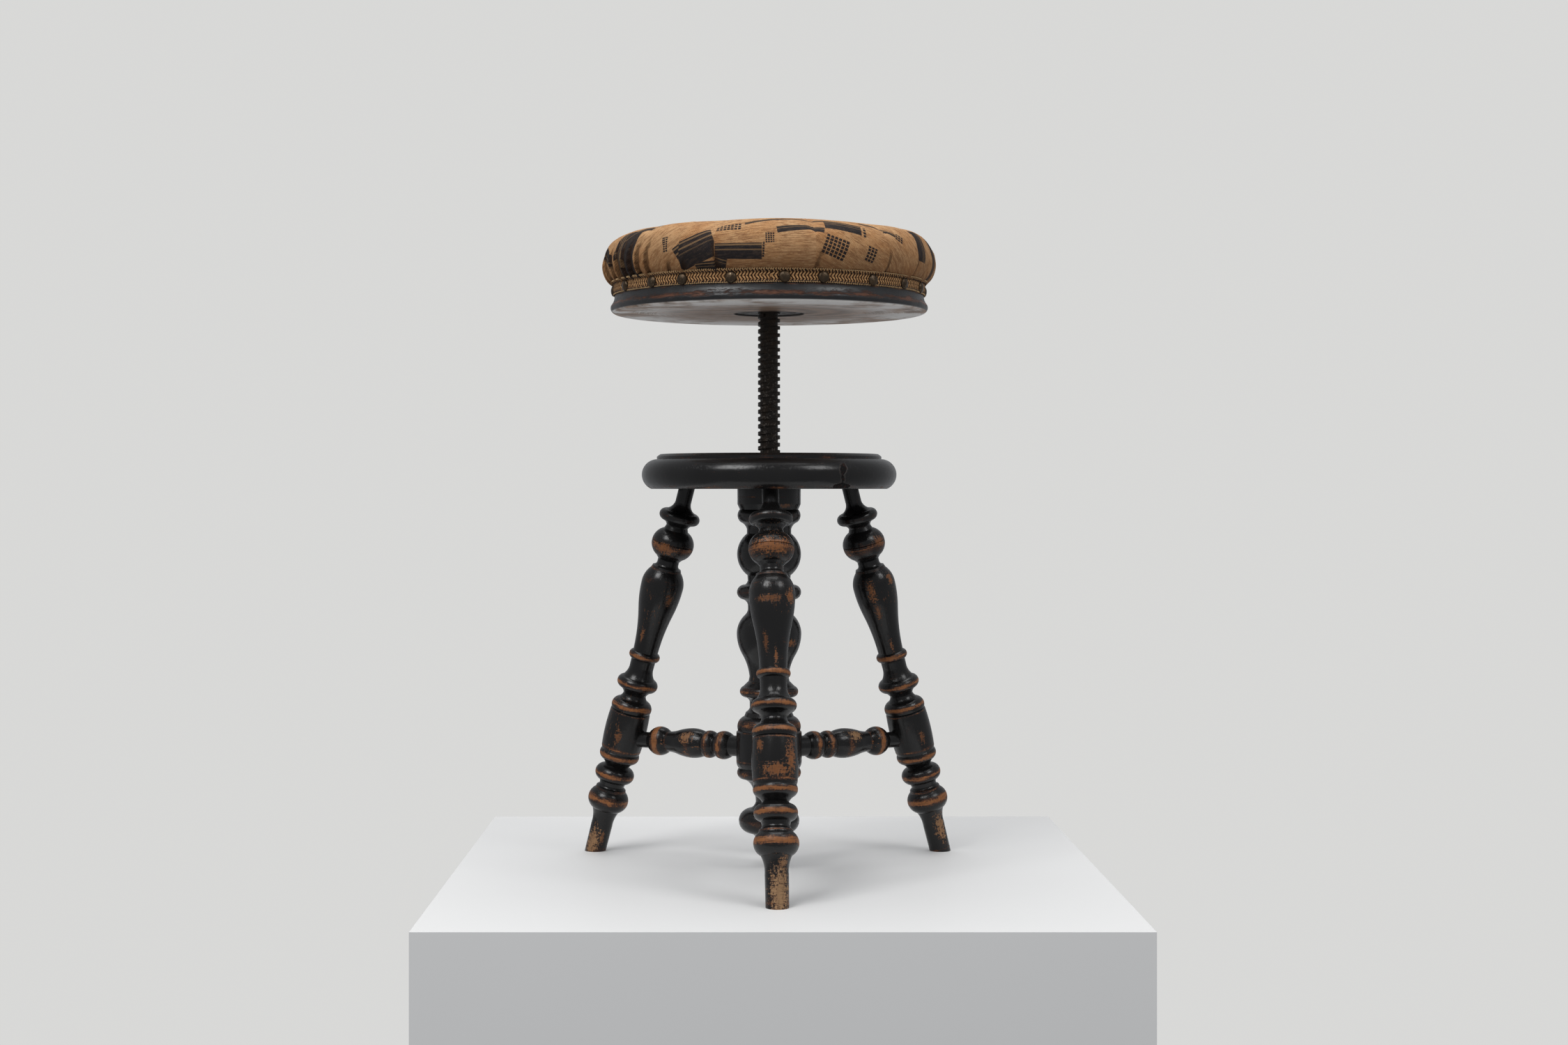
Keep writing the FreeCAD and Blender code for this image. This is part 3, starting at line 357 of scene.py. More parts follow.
class Effects:
    """The shared shader node groups: turned wear, grain, ribs and the marks of the cover."""

    def make(self) -> None:
        """Builds every group once."""
        self.crest_band()
        self.turned_wear()
        self.grain()
        self.ribs()
        self.mark_frame()
        self.bar()
        self.dashes()
        self.patina()
        self.rubbed_spot()

    def rubbed_spot(self) -> None:
        """One ragged spot on a turning, at a height and an angle about its axis."""
        b, given, out = new_effect(
            "rubbed spot", ["Place", "Toward"], ["At", "Half Height", "Half Angle", "Strength"], ["Mask"])
        place = given["Place"]
        up = b.div(b.sub(b.split(place)[2], given["At"]), given["Half Height"])
        level = b.vector("NORMALIZE", b.vector("MULTIPLY", place, (1.0, 1.0, 0.0)))
        off = b.div(b.math("ARCCOSINE", b.vector("DOT_PRODUCT", level, given["Toward"])), given["Half Angle"])
        far = b.math("SQRT", b.add(b.mul(up, up), b.mul(off, off)))
        ragged = b.add(b.noise(b.stretch(place, (1.0, 1.0, 0.7)), 420.0, 4.0, 0.75),
                       b.mul(b.noise(b.stretch(place, (0.2, 0.2, 3.0)), 330.0, 2.0), 0.35))
        near = b.add(b.sub(1.0, far), b.mul(b.sub(ragged, 0.675), 3.4))
        b.feed(b.mul(b.smooth(near, 0.20, 0.66), given["Strength"]), out["Mask"])

    def crest_band(self) -> None:
        """A soft band about one height: how exposed the crest of a turned ring is."""
        b, given, out = new_effect("crest band", [], ["Height", "Centre", "Half Width", "Strength"], ["Mask"])
        off = b.math("ABSOLUTE", b.sub(given["Height"], given["Centre"]))
        near = b.sub(1.0, b.div(off, given["Half Width"]), clamp=True)
        b.feed(b.mul(b.math("POWER", near, 0.7), given["Strength"]), out["Mask"])

    def turned_wear(self) -> None:
        """Where a stain is rubbed through: on the crests first, and in scuffs elsewhere."""
        b, given, out = new_effect("turned wear", ["Place"], ["Crest", "Seed", "Scuffs"], ["Worn", "Thin"])
        shifted = b.vector("ADD", given["Place"], b.join(given["Seed"], 0.0, given["Seed"]))
        broad = b.noise(b.stretch(shifted, (1.0, 1.0, 1.6)), 60.0, 4.0, 0.62)
        fine = b.noise(shifted, 560.0, 3.0, 0.65)
        rings = b.noise(b.stretch(shifted, (0.16, 0.16, 3.2)), 300.0, 3.0, 0.6)
        ragged = b.add(b.swing(broad, 1.25), b.swing(fine, 0.8))
        ragged = b.add(ragged, b.swing(rings, 0.9))
        rubbed = b.add(given["Crest"], ragged)
        streaks = b.noise(b.stretch(shifted, (1.0, 1.0, 0.22)), 520.0, 3.0, 0.65)
        patches = b.noise(shifted, 26.0, 2.0, 0.5)
        scuffed = b.mul(b.smooth(streaks, 0.60, 0.68), b.smooth(patches, 0.56, 0.66))
        scuffed = b.mul(scuffed, given["Scuffs"])
        b.feed(b.most(b.smooth(rubbed, 0.54, 0.72), scuffed), out["Worn"])
        b.feed(b.most(b.smooth(rubbed, 0.24, 0.60), scuffed), out["Thin"])

    def grain(self) -> None:
        """Wood grain along the Z of the coordinates that it is given."""
        b, given, out = new_effect("grain", ["Place"], ["Seed"], ["Figure", "Pores"])
        shifted = b.vector("ADD", given["Place"], b.join(given["Seed"], given["Seed"], 0.0))
        rings = b.noise(b.stretch(shifted, (1.0, 1.0, 0.05)), 210.0, 4.0, 0.6, 0.6)
        pores = b.noise(b.stretch(shifted, (1.0, 1.0, 0.04)), 900.0, 2.0, 0.6)
        b.feed(rings, out["Figure"])
        b.feed(b.smooth(pores, 0.55, 0.75), out["Pores"])

    def ribs(self) -> None:
        """A ribbed weave: ribs along X of the cloth, threads across them."""
        b, given, out = new_effect("ribs", ["Cloth"], ["Pitch"], ["Height", "Tone", "Thread"])
        sway = b.noise(given["Cloth"], 45.0, 2.0)
        x, y, _z = b.split(given["Cloth"])
        swayed = b.add(y, b.swing(sway, 0.0016))
        row = b.div(swayed, given["Pitch"])
        crown = b.math("ABSOLUTE", b.math("SINE", b.mul(row, math.pi)))
        line = b.math("FLOOR", row)
        tone = b.node("ShaderNodeTexNoise", noise_dimensions="2D")
        along = b.join(b.mul(x, 105.0), b.mul(line, 7.31), 0.0)
        b.fill(tone, Vector=along, Scale=1.0, Detail=3.0, Roughness=0.7)
        offset = b.mul(b.math("MODULO", line, 2.0), math.pi)
        across = b.math("SINE", b.add(b.mul(b.div(x, given["Pitch"]), 9.0), offset))
        b.feed(crown, out["Height"])
        b.feed(tone.outputs["Fac"], out["Tone"])
        b.feed(b.add(b.mul(across, 0.5), 0.5), out["Thread"])

    def mark_frame(self) -> None:
        """Coordinates about the middle of one woven mark, turned to it."""
        b, given, out = new_effect("mark frame", ["Cloth", "Centre"], ["Turn"], ["Local"], "Vector")
        moved = b.vector("SUBTRACT", given["Cloth"], given["Centre"])
        turn = b.node("ShaderNodeVectorRotate", rotation_type="Z_AXIS")
        b.feed(b.fill(turn, Vector=moved, Angle=b.mul(given["Turn"], -1.0)).outputs[0], out["Local"])

    def inside(self, b: Bench, value: Feed, half: Feed, soft: float) -> Socket:
        """1 where a value is within half of 0, with a soft edge.

        Args:
            b: The bench of the group.
            value: The distance from the middle.
            half: Half of the width.
            soft: Width of the edge, in metres.

        Returns:
            The mask.
        """
        spare = b.sub(half, b.math("ABSOLUTE", value))
        return b.add(b.div(spare, soft), 0.5, clamp=True)

    def bar(self) -> None:
        """A bar of dark weft, solid below and broken into stripes above."""
        b, given, out = new_effect(
            "bar", ["Local"], ["Half Length", "Half Width", "Stripes"], ["Mask", "Stripe"])
        x, y, _z = b.split(given["Local"])
        body = b.mul(self.inside(b, x, given["Half Length"], 0.0006),
                     self.inside(b, y, given["Half Width"], 0.0005))
        up = b.div(y, given["Half Width"])
        wave = b.math("SINE", b.mul(up, given["Stripes"]))
        striped = b.mul(b.smooth(wave, 0.35, 0.75), b.smooth(up, 0.0, 0.25))
        b.feed(body, out["Mask"])
        b.feed(b.mul(body, striped), out["Stripe"])

    def dashes(self) -> None:
        """A block of short dark dashes in rows."""
        b, given, out = new_effect("dashes", ["Local"], ["Half Length", "Half Width", "Pitch"], ["Mask"])
        x, y, _z = b.split(given["Local"])
        block = b.mul(self.inside(b, x, given["Half Length"], 0.0004),
                      self.inside(b, y, given["Half Width"], 0.0004))
        along = b.math("FRACT", b.div(b.add(x, given["Half Length"]), given["Pitch"]))
        rows = b.math("FRACT", b.div(b.add(y, given["Half Width"]), b.mul(given["Pitch"], 0.82)))
        dash = b.mul(b.smooth(along, 0.80, 0.72), b.smooth(rows, 0.82, 0.72))
        b.feed(b.mul(block, dash), out["Mask"])

    def patina(self) -> None:
        """Blotches and bright rubbed places on old metal."""
        b, given, out = new_effect("patina", ["Place"], ["Seed"], ["Blotch", "Rubbed", "Pits"])
        shifted = b.vector("ADD", given["Place"], b.join(given["Seed"], 0.0, 0.0))
        b.feed(b.smooth(b.noise(shifted, 120.0, 5.0, 0.65), 0.42, 0.66), out["Blotch"])
        rubbed = b.noise(b.stretch(shifted, (1.0, 1.0, 0.7)), 420.0, 4.0, 0.7)
        b.feed(b.smooth(rubbed, 0.53, 0.66), out["Rubbed"])
        b.feed(b.noise(shifted, 1400.0, 3.0, 0.6), out["Pits"])


def shade(colour: Colour, amount: float) -> Colour:
    """A colour made darker or lighter by a factor."""
    return tuple(amount * c for c in colour)


def new_material(name: str) -> tuple[Bench, bpy.types.Material, bpy.types.Node]:
    """Starts a material with a Principled BSDF.

    Args:
        name: The material's name.

    Returns:
        Its bench, the material and the shader node.
    """
    made = bpy.data.materials.new(name)
    made.use_nodes = True
    made.node_tree.nodes.clear()
    bench = Bench(made.node_tree)
    shader = bench.node("ShaderNodeBsdfPrincipled")
    result = bench.node("ShaderNodeOutputMaterial")
    made.node_tree.links.new(shader.outputs[0], result.inputs["Surface"])
    return bench, made, shader


# Finishes


@dataclass(frozen=True)
class Crest:
    """One exposed band of a turning: where it is, how wide and how worn."""

    at: float
    half: float
    strength: float


@dataclass(frozen=True)
class Spot:
    """One rubbed spot: millimetres along the axis, degrees about it, and how far the wood is bared."""

    at: float
    half: float
    angle: float
    half_angle: float
    strength: float
    bare: float = 0.0


@dataclass(frozen=True)
class EbonisedWood:
    """Black-stained turned wood, rubbed through to brown on its crests."""

    name: str
    origin: tuple[float, float, float]
    turn: tuple[float, float, float]
    crests: tuple[Crest, ...]
    seed: float
    wear: float = 1.0
    scuffs: float = 1.0
    spots: tuple[Spot, ...] = ()
    black: Colour = (0.0060, 0.0056, 0.0056)
    brown: Colour = (0.30, 0.112, 0.034)
    dark_brown: Colour = (0.042, 0.014, 0.006)
    bare: Colour = (0.40, 0.235, 0.115)
    specular: float = 0.36

    def material(self) -> bpy.types.Material:
        """Builds the material.

        Returns:
            The material.
        """
        b, made, shader = new_material(self.name)
        local = b.node("ShaderNodeMapping", vector_type="TEXTURE")
        place = b.fill(local, Vector=b.place(), Location=self.origin, Rotation=self.turn).outputs[0]
        height = b.split(place)[2]
        exposed: Feed = 0.0
        for crest in self.crests:
            band = b.effect("crest band", Height=height, Centre=crest.at, Half_Width=crest.half,
                            Strength=crest.strength * self.wear)
            exposed = b.most(exposed, band["Mask"])
        wear = b.effect("turned wear", Place=place, Crest=exposed, Seed=self.seed, Scuffs=self.scuffs)
        grain = b.effect("grain", Place=place, Seed=self.seed)
        worn, thin = wear["Worn"], wear["Thin"]
        bared: Feed = 0.0
        for spot in self.spots:
            turn = math.radians(spot.angle)
            toward = (math.cos(turn), math.sin(turn), 0.0)
            mask = b.effect("rubbed spot", Place=place, At=spot.at * MM, Half_Height=spot.half * MM,
                            Toward=toward, Half_Angle=math.radians(spot.half_angle),
                            Strength=spot.strength)["Mask"]
            worn, thin = b.most(worn, mask), b.most(thin, mask)
            bared = b.most(bared, b.mul(mask, spot.bare))
        toned = b.blend(grain["Figure"], shade(self.brown, 0.42), shade(self.brown, 1.25))
        toned = b.blend(bared, toned, b.blend(grain["Figure"], shade(self.bare, 0.45), self.bare))
        scratched = b.noise(b.stretch(place, (0.2, 0.2, 4.0)), 420.0, 2.0, 0.6)
        toned = b.blend(b.mul(b.smooth(scratched, 0.54, 0.68), 0.75), toned, self.dark_brown)
        toned = b.blend(b.mul(grain["Pores"], 0.55), toned, self.dark_brown)
        smoky = b.noise(place, 38.0, 3.0)
        stained = b.blend(smoky, shade(self.black, 0.7), shade(self.black, 1.5))
        stained = b.blend(thin, stained, self.dark_brown)
        gloss = b.add(b.add(0.12, b.mul(smoky, 0.20)), b.mul(thin, 0.22))
        relief = b.add(b.mul(worn, -0.6), b.mul(grain["Pores"], -0.35))
        relief = b.add(relief, b.mul(b.noise(place, 260.0, 2.0), 0.5))
        b.fill(shader, Base_Color=b.blend(worn, stained, toned), Specular_IOR_Level=self.specular,
               Roughness=gloss, Normal=b.bump(relief, 0.00026, 0.8))
        return made


@dataclass(frozen=True)
class TopWood(EbonisedWood):
    """The round top's finish: ebonised, with a shrinkage crack and a chip in its rim; the crack is painted
    near-black inside as shade and has a painted highlight along its edges.
    """

    crack_azimuth: float = math.radians(-55.9)
    crack_low: float = 0.4010
    crack_high: float = 0.4265

    def material(self) -> bpy.types.Material:
        """Builds the material.

        Returns:
            The material.
        """
        made = EbonisedWood.material(self)
        b = Bench(made.node_tree)
        b.placed = len(made.node_tree.nodes)
        shader = next(node for node in made.node_tree.nodes if node.type == "BSDF_PRINCIPLED")
        stained, plain, smooth_normal = (
            shader.inputs[key].links[0].from_socket for key in ("Base Color", "Roughness", "Normal"))
        coords = b.place()
        x, y, z = b.split(coords)
        azimuth = b.math("ARCTAN2", y, x)
        up = b.sub(z, self.crack_low)
        lean = b.mul(b.math("SINE", b.mul(up, 130.0)), 0.022)
        ragged = b.swing(b.noise(coords, 260.0, 3.0), 0.040)
        off = b.sub(azimuth, self.crack_azimuth)
        off = b.add(b.add(off, lean), ragged)
        span = b.mul(b.smooth(z, self.crack_low - 0.002, self.crack_low),
                     b.smooth(z, self.crack_high, self.crack_high - 0.002))
        foot = b.mul(b.smooth(up, 0.0052, 0.0022), 0.070)
        flared = b.effect("crest band", Height=up, Centre=0.0185, Half_Width=0.0060, Strength=1.0)["Mask"]
        head = b.mul(flared, 0.022)
        reach = b.add(b.add(0.013, foot), head)
        spare = b.sub(reach, b.math("ABSOLUTE", off))
        gap = b.mul(b.div(spare, 0.006, clamp=True), span)
        # Painted highlight: a lighter grey band along both edges of the crack.
        crack_edge_highlight = b.mul(b.div(b.add(spare, 0.012), 0.008, clamp=True), span)
        crack_edge_highlight = b.sub(crack_edge_highlight, gap, clamp=True)
        broken = b.noise(coords, 420.0, 3.0)
        # Painted shade: the crack's inside is near-black, mottled with a little dark brown of raw wood.
        crack_shade_and_raw_wood = b.blend(b.smooth(broken, 0.52, 0.66), (0.0012, 0.001, 0.001), (0.030, 0.009, 0.006))
        stained = b.blend(b.mul(crack_edge_highlight, 0.6), stained, (0.045, 0.036, 0.032))
        torn = b.add(b.mul(gap, -1.0), b.mul(b.mul(gap, broken), 0.8))
        b.fill(shader, Base_Color=b.blend(gap, stained, crack_shade_and_raw_wood), Roughness=b.most(plain, gap),
               Normal=b.bump(torn, 0.0018, 1.0, smooth_normal))
        return made


@dataclass(frozen=True)
class BoardWood:
    """The seat board: stained black round its edge, bare and greyed wood underneath with a painted pale sheen
    towards the rim, and its recess painted dark as shade.
    """

    name: str = "seat_board_wood"
    under: float = 0.584
    recess: float = 0.037
    black: Colour = (0.0075, 0.0075, 0.0085)
    rubbed: Colour = (0.105, 0.036, 0.015)
    bare: Colour = (0.47, 0.30, 0.20)
    grey_and_sheen: Colour = (0.84, 0.81, 0.78)
    # Painted shade colours of the recess floor and walls.
    recess_floor_shade: Colour = (0.02, 0.016, 0.013)
    recess_wall_shade: Colour = (0.10, 0.09, 0.08)

    def material(self) -> bpy.types.Material:
        """Builds the material.

        Returns:
            The material.
        """
        b, made, shader = new_material(self.name)
        place = b.place()
        normal = b.split(b.node("ShaderNodeNewGeometry").outputs["Normal"])
        x, y, z = b.split(place)
        radius = b.math("SQRT", b.add(b.mul(x, x), b.mul(y, y)))
        below = b.smooth(normal[2], -0.55, -0.82)
        grain = b.effect("grain", Place=b.join(b.mul(y, 1.4), z, b.mul(x, 1.0)), Seed=0.31)
        swirl = b.node("ShaderNodeTexWave", wave_type="RINGS", rings_direction="Z")
        b.fill(swirl, Vector=b.stretch(place, (0.55, 1.0, 1.0), (0.035, 0.03, 0.0)), Scale=16.0,
               Distortion=3.2, Detail=3.0, Detail_Scale=9.0)
        figure = b.add(b.mul(swirl.outputs["Fac"], 0.55), b.mul(grain["Figure"], 0.5))
        figured = b.blend(figure, shade(self.bare, 0.28), self.bare)
        round_axis = b.math("ARCTAN2", y, x)
        turned = b.noise(b.join(b.mul(radius, 900.0), b.mul(round_axis, 2.2), 0.0), 1.0, 3.0)
        # Towards the rim the bare wood turns pale grey: partly greyed wood, partly a painted sheen of
        # reflected light.
        grey_and_sheen_noise = b.noise(place, 20.0, 4.0, 0.6)
        patchy = b.add(grey_and_sheen_noise, b.mul(turned, 0.40))
        grey_and_sheen_mask = b.mul(b.smooth(radius, 0.070, 0.150), b.smooth(patchy, 0.56, 0.78))
        underside = b.blend(grey_and_sheen_mask, figured, self.grey_and_sheen)
        # Painted shade: inside the recess the underside is painted near-black, and the recess walls a dark
        # grey.
        recess_shade_mask = b.smooth(radius, self.recess + 0.0012, self.recess - 0.0006)
        underside = b.blend(recess_shade_mask, underside, self.recess_floor_shade)
        recess_wall_shade_mask = b.mul(recess_shade_mask, b.smooth(normal[2], -0.6, -0.2))
        run = b.join(b.mul(round_axis, 0.16), 0.0, b.mul(z, 4.2))
        streak = b.noise(run, 42.0, 5.0, 0.66)
        step = b.sub(z, self.under)
        lower = b.effect("crest band", Height=step, Centre=0.0085, Half_Width=0.0055, Strength=0.50)
        upper = b.effect("crest band", Height=step, Centre=0.0172, Half_Width=0.0016, Strength=0.42)
        exposed = b.most(lower["Mask"], upper["Mask"])
        scored = b.noise(b.stretch(run, (0.5, 1.0, 5.0)), 300.0, 3.0, 0.7)
        streak = b.add(streak, b.swing(scored, 0.5))
        worn = b.smooth(b.add(b.mul(exposed, 0.70), streak), 0.72, 0.90)
        haze = b.smooth(b.noise(place, 55.0, 3.0), 0.45, 0.7)
        stained = b.blend(b.mul(haze, 0.6), self.black, shade(self.black, 1.9))
        side = b.blend(worn, stained, self.rubbed)
        bright = b.mul(b.smooth(b.noise(run, 160.0, 3.0), 0.6, 0.7), worn)
        side = b.blend(bright, side, shade(self.rubbed, 1.7))
        colour = b.blend(recess_wall_shade_mask, b.blend(below, side, underside), self.recess_wall_shade)
        rough = b.add(b.add(0.34, b.mul(haze, 0.12)), b.mul(below, 0.10))
        relief = b.add(b.mul(turned, b.mul(below, 0.9)), b.mul(worn, b.sub(below, 1.0)))
        relief = b.sub(relief, b.mul(grain["Pores"], 0.5))
        b.fill(shader, Base_Color=colour, Roughness=rough, Normal=b.bump(relief, 0.0003, 0.8))
        return made


@dataclass(frozen=True)
class OldMetal:
    """Dark old metal, blotched and rubbed bright in places."""

    name: str
    dark: Colour
    blotch: Colour
    bright: Colour
    seed: float
    metallic: float = 0.75
    rough: float = 0.42
    rubbed: float = 0.6
    bright_below: Optional[float] = None

    def material(self) -> bpy.types.Material:
        """Builds the material.

        Returns:
            The material.
        """
        b, made, shader = new_material(self.name)
        place = b.place()
        old = b.effect("patina", Place=place, Seed=self.seed)
        rubbed = b.mul(old["Rubbed"], self.rubbed)
        if self.bright_below is not None:
            low = b.smooth(b.split(place)[2], self.bright_below, self.bright_below - 0.12)
            rubbed = b.mul(rubbed, b.add(0.15, b.mul(low, 0.85)))
        colour = b.blend(old["Blotch"], self.dark, self.blotch)
        rough = b.add(self.rough, b.mul(old["Blotch"], 0.2))
        relief = b.add(old["Pits"], b.mul(old["Blotch"], 0.5))
        b.fill(shader, Base_Color=b.blend(rubbed, colour, self.bright), Metallic=self.metallic,
               Roughness=b.sub(rough, b.mul(rubbed, 0.12)), Normal=b.bump(relief, 0.00025, 0.7))
        return made


@dataclass(frozen=True)
class Mark:
    """One dark mark woven into the cover, in millimetres and degrees on the flat cloth.

    The beat of a bar is how far its stripes' wave runs over half its width, in radians. The beat of a block
    of dashes is their pitch, in millimetres.
    """

    x: float
    y: float
    length: float
    width: float
    turn: float
    beat: float


@dataclass(frozen=True)
class CoverCloth:
    """Golden-brown ribbed cloth with dark woven bars and blocks of dashes, painted shade in its creases and
    in the grooves between ribs, and soiling and painted shade towards its lower sides.
    """

    bars: tuple[Mark, ...]
    dashes: tuple[Mark, ...]
    name: str = "cover_weave"
    pitch: float = 1.25
    gold: Colour = (0.43, 0.206, 0.078)
    light: Colour = (0.57, 0.342, 0.168)
    deep: Colour = (0.185, 0.074, 0.027)
    ink: Colour = (0.0085, 0.009, 0.012)
    ink_brown: Colour = (0.075, 0.050, 0.036)

    def mark(self, b: Bench, cloth: Socket, mark: Mark, lay: Lay, **beat: float) -> bpy.types.NodeOutputs:
        """Places the nodes of one mark.

        Args:
            b: The material's bench.
            cloth: The flat cloth's coordinates.
            mark: The mark.
            lay: How it is filled.
            **beat: The input for its stripes or its pitch.

        Returns:
            The masks of the mark.
        """
        local = b.effect("mark frame", Cloth=cloth, Centre=(mark.x * MM, mark.y * MM, 0.0),
                         Turn=math.radians(mark.turn))["Local"]
        return b.effect(lay.value, Local=local, Half_Length=mark.length * MM / 2,
                        Half_Width=mark.width * MM / 2, **beat)

    def material(self) -> bpy.types.Material:
        """Builds the material.

        Returns:
            The material.
        """
        b, made, shader = new_material(self.name)
        cloth = b.node("ShaderNodeUVMap", uv_map="cloth").outputs[0]
        rib = b.effect("ribs", Cloth=cloth, Pitch=self.pitch * MM)
        wash = b.noise(cloth, 22.0, 4.0, 0.6)
        # Darker towards the lower sides, near the braid: partly soiling, partly painted shade on the sides
        # away from the overhead light.
        soiled = b.smooth(b.add(b.vector("LENGTH", cloth), b.mul(wash, 0.05)), 0.190, 0.262)
        slub = b.noise(b.stretch(cloth, (0.16, 1.0, 1.0)), 330.0, 3.0, 0.65)
        base = b.blend(b.smooth(wash, 0.34, 0.66), self.gold, self.light)
        base = b.blend(b.mul(b.smooth(slub, 0.52, 0.38), 0.55), base, self.deep)
        base = b.blend(b.mul(soiled, 0.75), base, self.deep)
        base = b.blend(b.mul(b.smooth(rib["Tone"], 0.52, 0.32), 0.60), base, self.deep)
        base = b.blend(b.mul(b.smooth(rib["Tone"], 0.52, 0.72), 0.45), base, self.light)
        # Painted shade: the low grooves between the ribs are darkened towards a near-black brown.
        base = b.blend(b.mul(b.smooth(rib["Height"], 0.55, 0.0), 0.7), base, shade(self.deep, 0.4))
        base = b.blend(b.mul(rib["Thread"], 0.18), base, self.light)
        ragged = b.noise(cloth, 700.0, 2.0)
        frayed = b.vector("ADD", cloth, b.join(b.swing(ragged, 0.0012), 0.0, 0.0))
        dark: Feed = 0.0
        stripe: Feed = 0.0
        for bar in self.bars:
            bar_masks = self.mark(b, frayed, bar, Lay.BAR, Stripes=bar.beat)
            dark, stripe = b.most(dark, bar_masks["Mask"]), b.most(stripe, bar_masks["Stripe"])
        for block in self.dashes:
            dark = b.most(dark, self.mark(b, frayed, block, Lay.DASHES, Pitch=block.beat * MM)["Mask"])
        inky = b.blend(b.mul(b.smooth(rib["Tone"], 0.45, 0.7), 0.35), self.ink, self.ink_brown)
        inky = b.blend(b.mul(stripe, 0.80), inky, shade(self.light, 0.40))
        woven = b.blend(b.mul(dark, 0.97), base, inky)
        # Painted shade in the folds: the stored crease depth darkens the cloth towards a near-black brown.
        crease = b.node("ShaderNodeAttribute", attribute_name="crease").outputs["Fac"]
        painted_crease_shade = b.mul(b.smooth(crease, 0.05, 0.9), 0.6)
        relief = b.add(b.add(rib["Height"], b.mul(rib["Thread"], 0.35)), b.mul(ragged, 0.3))
        b.fill(shader, Base_Color=b.blend(painted_crease_shade, woven, shade(self.deep, 0.16)), Roughness=0.72,
               Specular_IOR_Level=0.15, Normal=b.bump(relief, 0.00042, 0.75))
        return made


@dataclass(frozen=True)
class BraidCloth:
    """Tan braid: rows of slanting threads, each row leaning the other way, with painted shade in the dips
    between threads and rows.
    """

    name: str = "braid_weave"
    light: Colour = (0.47, 0.265, 0.120)
    mid: Colour = (0.15, 0.066, 0.023)
    deep: Colour = (0.012, 0.006, 0.003)
    height: float = 13.8
    rows: float = 4.0
    pitch: float = 3.4

    def material(self) -> bpy.types.Material:
        """Builds the material.

        Returns:
            The material.
        """
        b, made, shader = new_material(self.name)
        band = b.node("ShaderNodeUVMap", uv_map="band").outputs[0]
        x, y, _z = b.split(band)
        even = b.stretch(band, (1.0, self.height * MM, 1.0))
        wobble = b.swing(b.noise(even, 180.0, 2.0), 0.7)
        row = b.add(b.mul(y, self.rows), b.mul(wobble, 0.25))
        lean = b.sub(b.mul(b.math("MODULO", b.math("FLOOR", row), 2.0), 2.0), 1.0)
        within = b.sub(b.math("FRACT", row), 0.5)
        slant = b.add(b.div(x, self.pitch * MM), b.mul(b.mul(within, lean), 0.75))
        thread = b.math("ABSOLUTE", b.math("SINE", b.mul(b.add(slant, wobble), math.pi)))
        seam = b.smooth(b.math("ABSOLUTE", within), 0.38, 0.5)
        crown = b.mul(thread, b.sub(1.0, b.mul(seam, 0.45)))
        soiled = b.noise(even, 90.0, 4.0, 0.6)
        # Painted shade: the near-black deep colour fills the dips between thread crowns and the seams between
        # rows; mid and light are the thread tones.
        colour = b.blend(b.smooth(crown, 0.36, 0.62), self.deep, self.mid)
        colour = b.blend(b.smooth(crown, 0.58, 0.86), colour, self.light)
        colour = b.blend(b.smooth(soiled, 0.5, 0.72), colour, b.blend(0.55, colour, self.mid))
        b.fill(shader, Base_Color=colour, Roughness=0.8, Specular_IOR_Level=0.15,
               Normal=b.bump(crown, 0.0006, 0.85))
        return made


@dataclass(frozen=True)
class EdgeThread:
    """The thread of the stitches along the braid's edges."""

    name: str
    colour: Colour
    twist: float = 2600.0

    def material(self) -> bpy.types.Material:
        """Builds the material.

        Returns:
            The material.
        """
        b, made, shader = new_material(self.name)
        place = b.place()
        fibre = b.noise(place, self.twist, 2.0)
        tone = b.noise(place, 90.0, 2.0)
        colour = b.blend(fibre, shade(self.colour, 0.5), shade(self.colour, 1.4))
        colour = b.blend(b.smooth(tone, 0.45, 0.7), colour, shade(self.colour, 0.6))
        b.fill(shader, Base_Color=colour, Roughness=0.8, Normal=b.bump(fibre, 0.0002, 0.6))
        return made


@dataclass(frozen=True)
class PaleFloor:
    """The matt pale slab that the stool stands on."""

    name: str = "pale_floor"
    colour: Colour = (0.80, 0.80, 0.795)

    def material(self) -> bpy.types.Material:
        """Builds the material.

        Returns:
            The material.
        """
        b, made, shader = new_material(self.name)
        place = b.place()
        mottle = b.noise(place, 3.0, 3.0)
        b.fill(shader, Base_Color=b.blend(mottle, shade(self.colour, 0.97), self.colour), Roughness=0.55)
        return made


# Mesh helpers


def mesh_piece(name: str, points: Sequence[Sequence[float]], faces: Sequence[Sequence[int]],
               material: Optional[bpy.types.Material] = None, smooth: bool = True) -> bpy.types.Object:
    """Makes an object of points and faces at the frame's origin.

    Args:
        name: The piece's name.
        points: Its points, in metres.
        faces: Its faces, each as indices of points.
        material: Its material.
        smooth: Whether it is shaded smooth.

    Returns:
        The object.
    """
    mesh = bpy.data.meshes.new(name)
    mesh.from_pydata([tuple(p) for p in points], [], [tuple(f) for f in faces])
    mesh.validate()
    mesh.update()
    mesh.polygons.foreach_set("use_smooth", [smooth] * len(mesh.polygons))
    made = bpy.data.objects.new(name, mesh)
    bpy.context.scene.collection.objects.link(made)
    if material:
        mesh.materials.append(material)
    return made


def bake(piece: bpy.types.Object) -> None:
    """Turns a piece's modifiers into plain mesh.

    Args:
        piece: The piece, which keeps its name and place.
    """
    bpy.context.view_layer.update()
    evaluated = piece.evaluated_get(bpy.context.evaluated_depsgraph_get())
    plain = bpy.data.meshes.new_from_object(evaluated)
    piece.modifiers.clear()
    old, piece.data = piece.data, plain
    plain.name = piece.name
    bpy.data.meshes.remove(old)


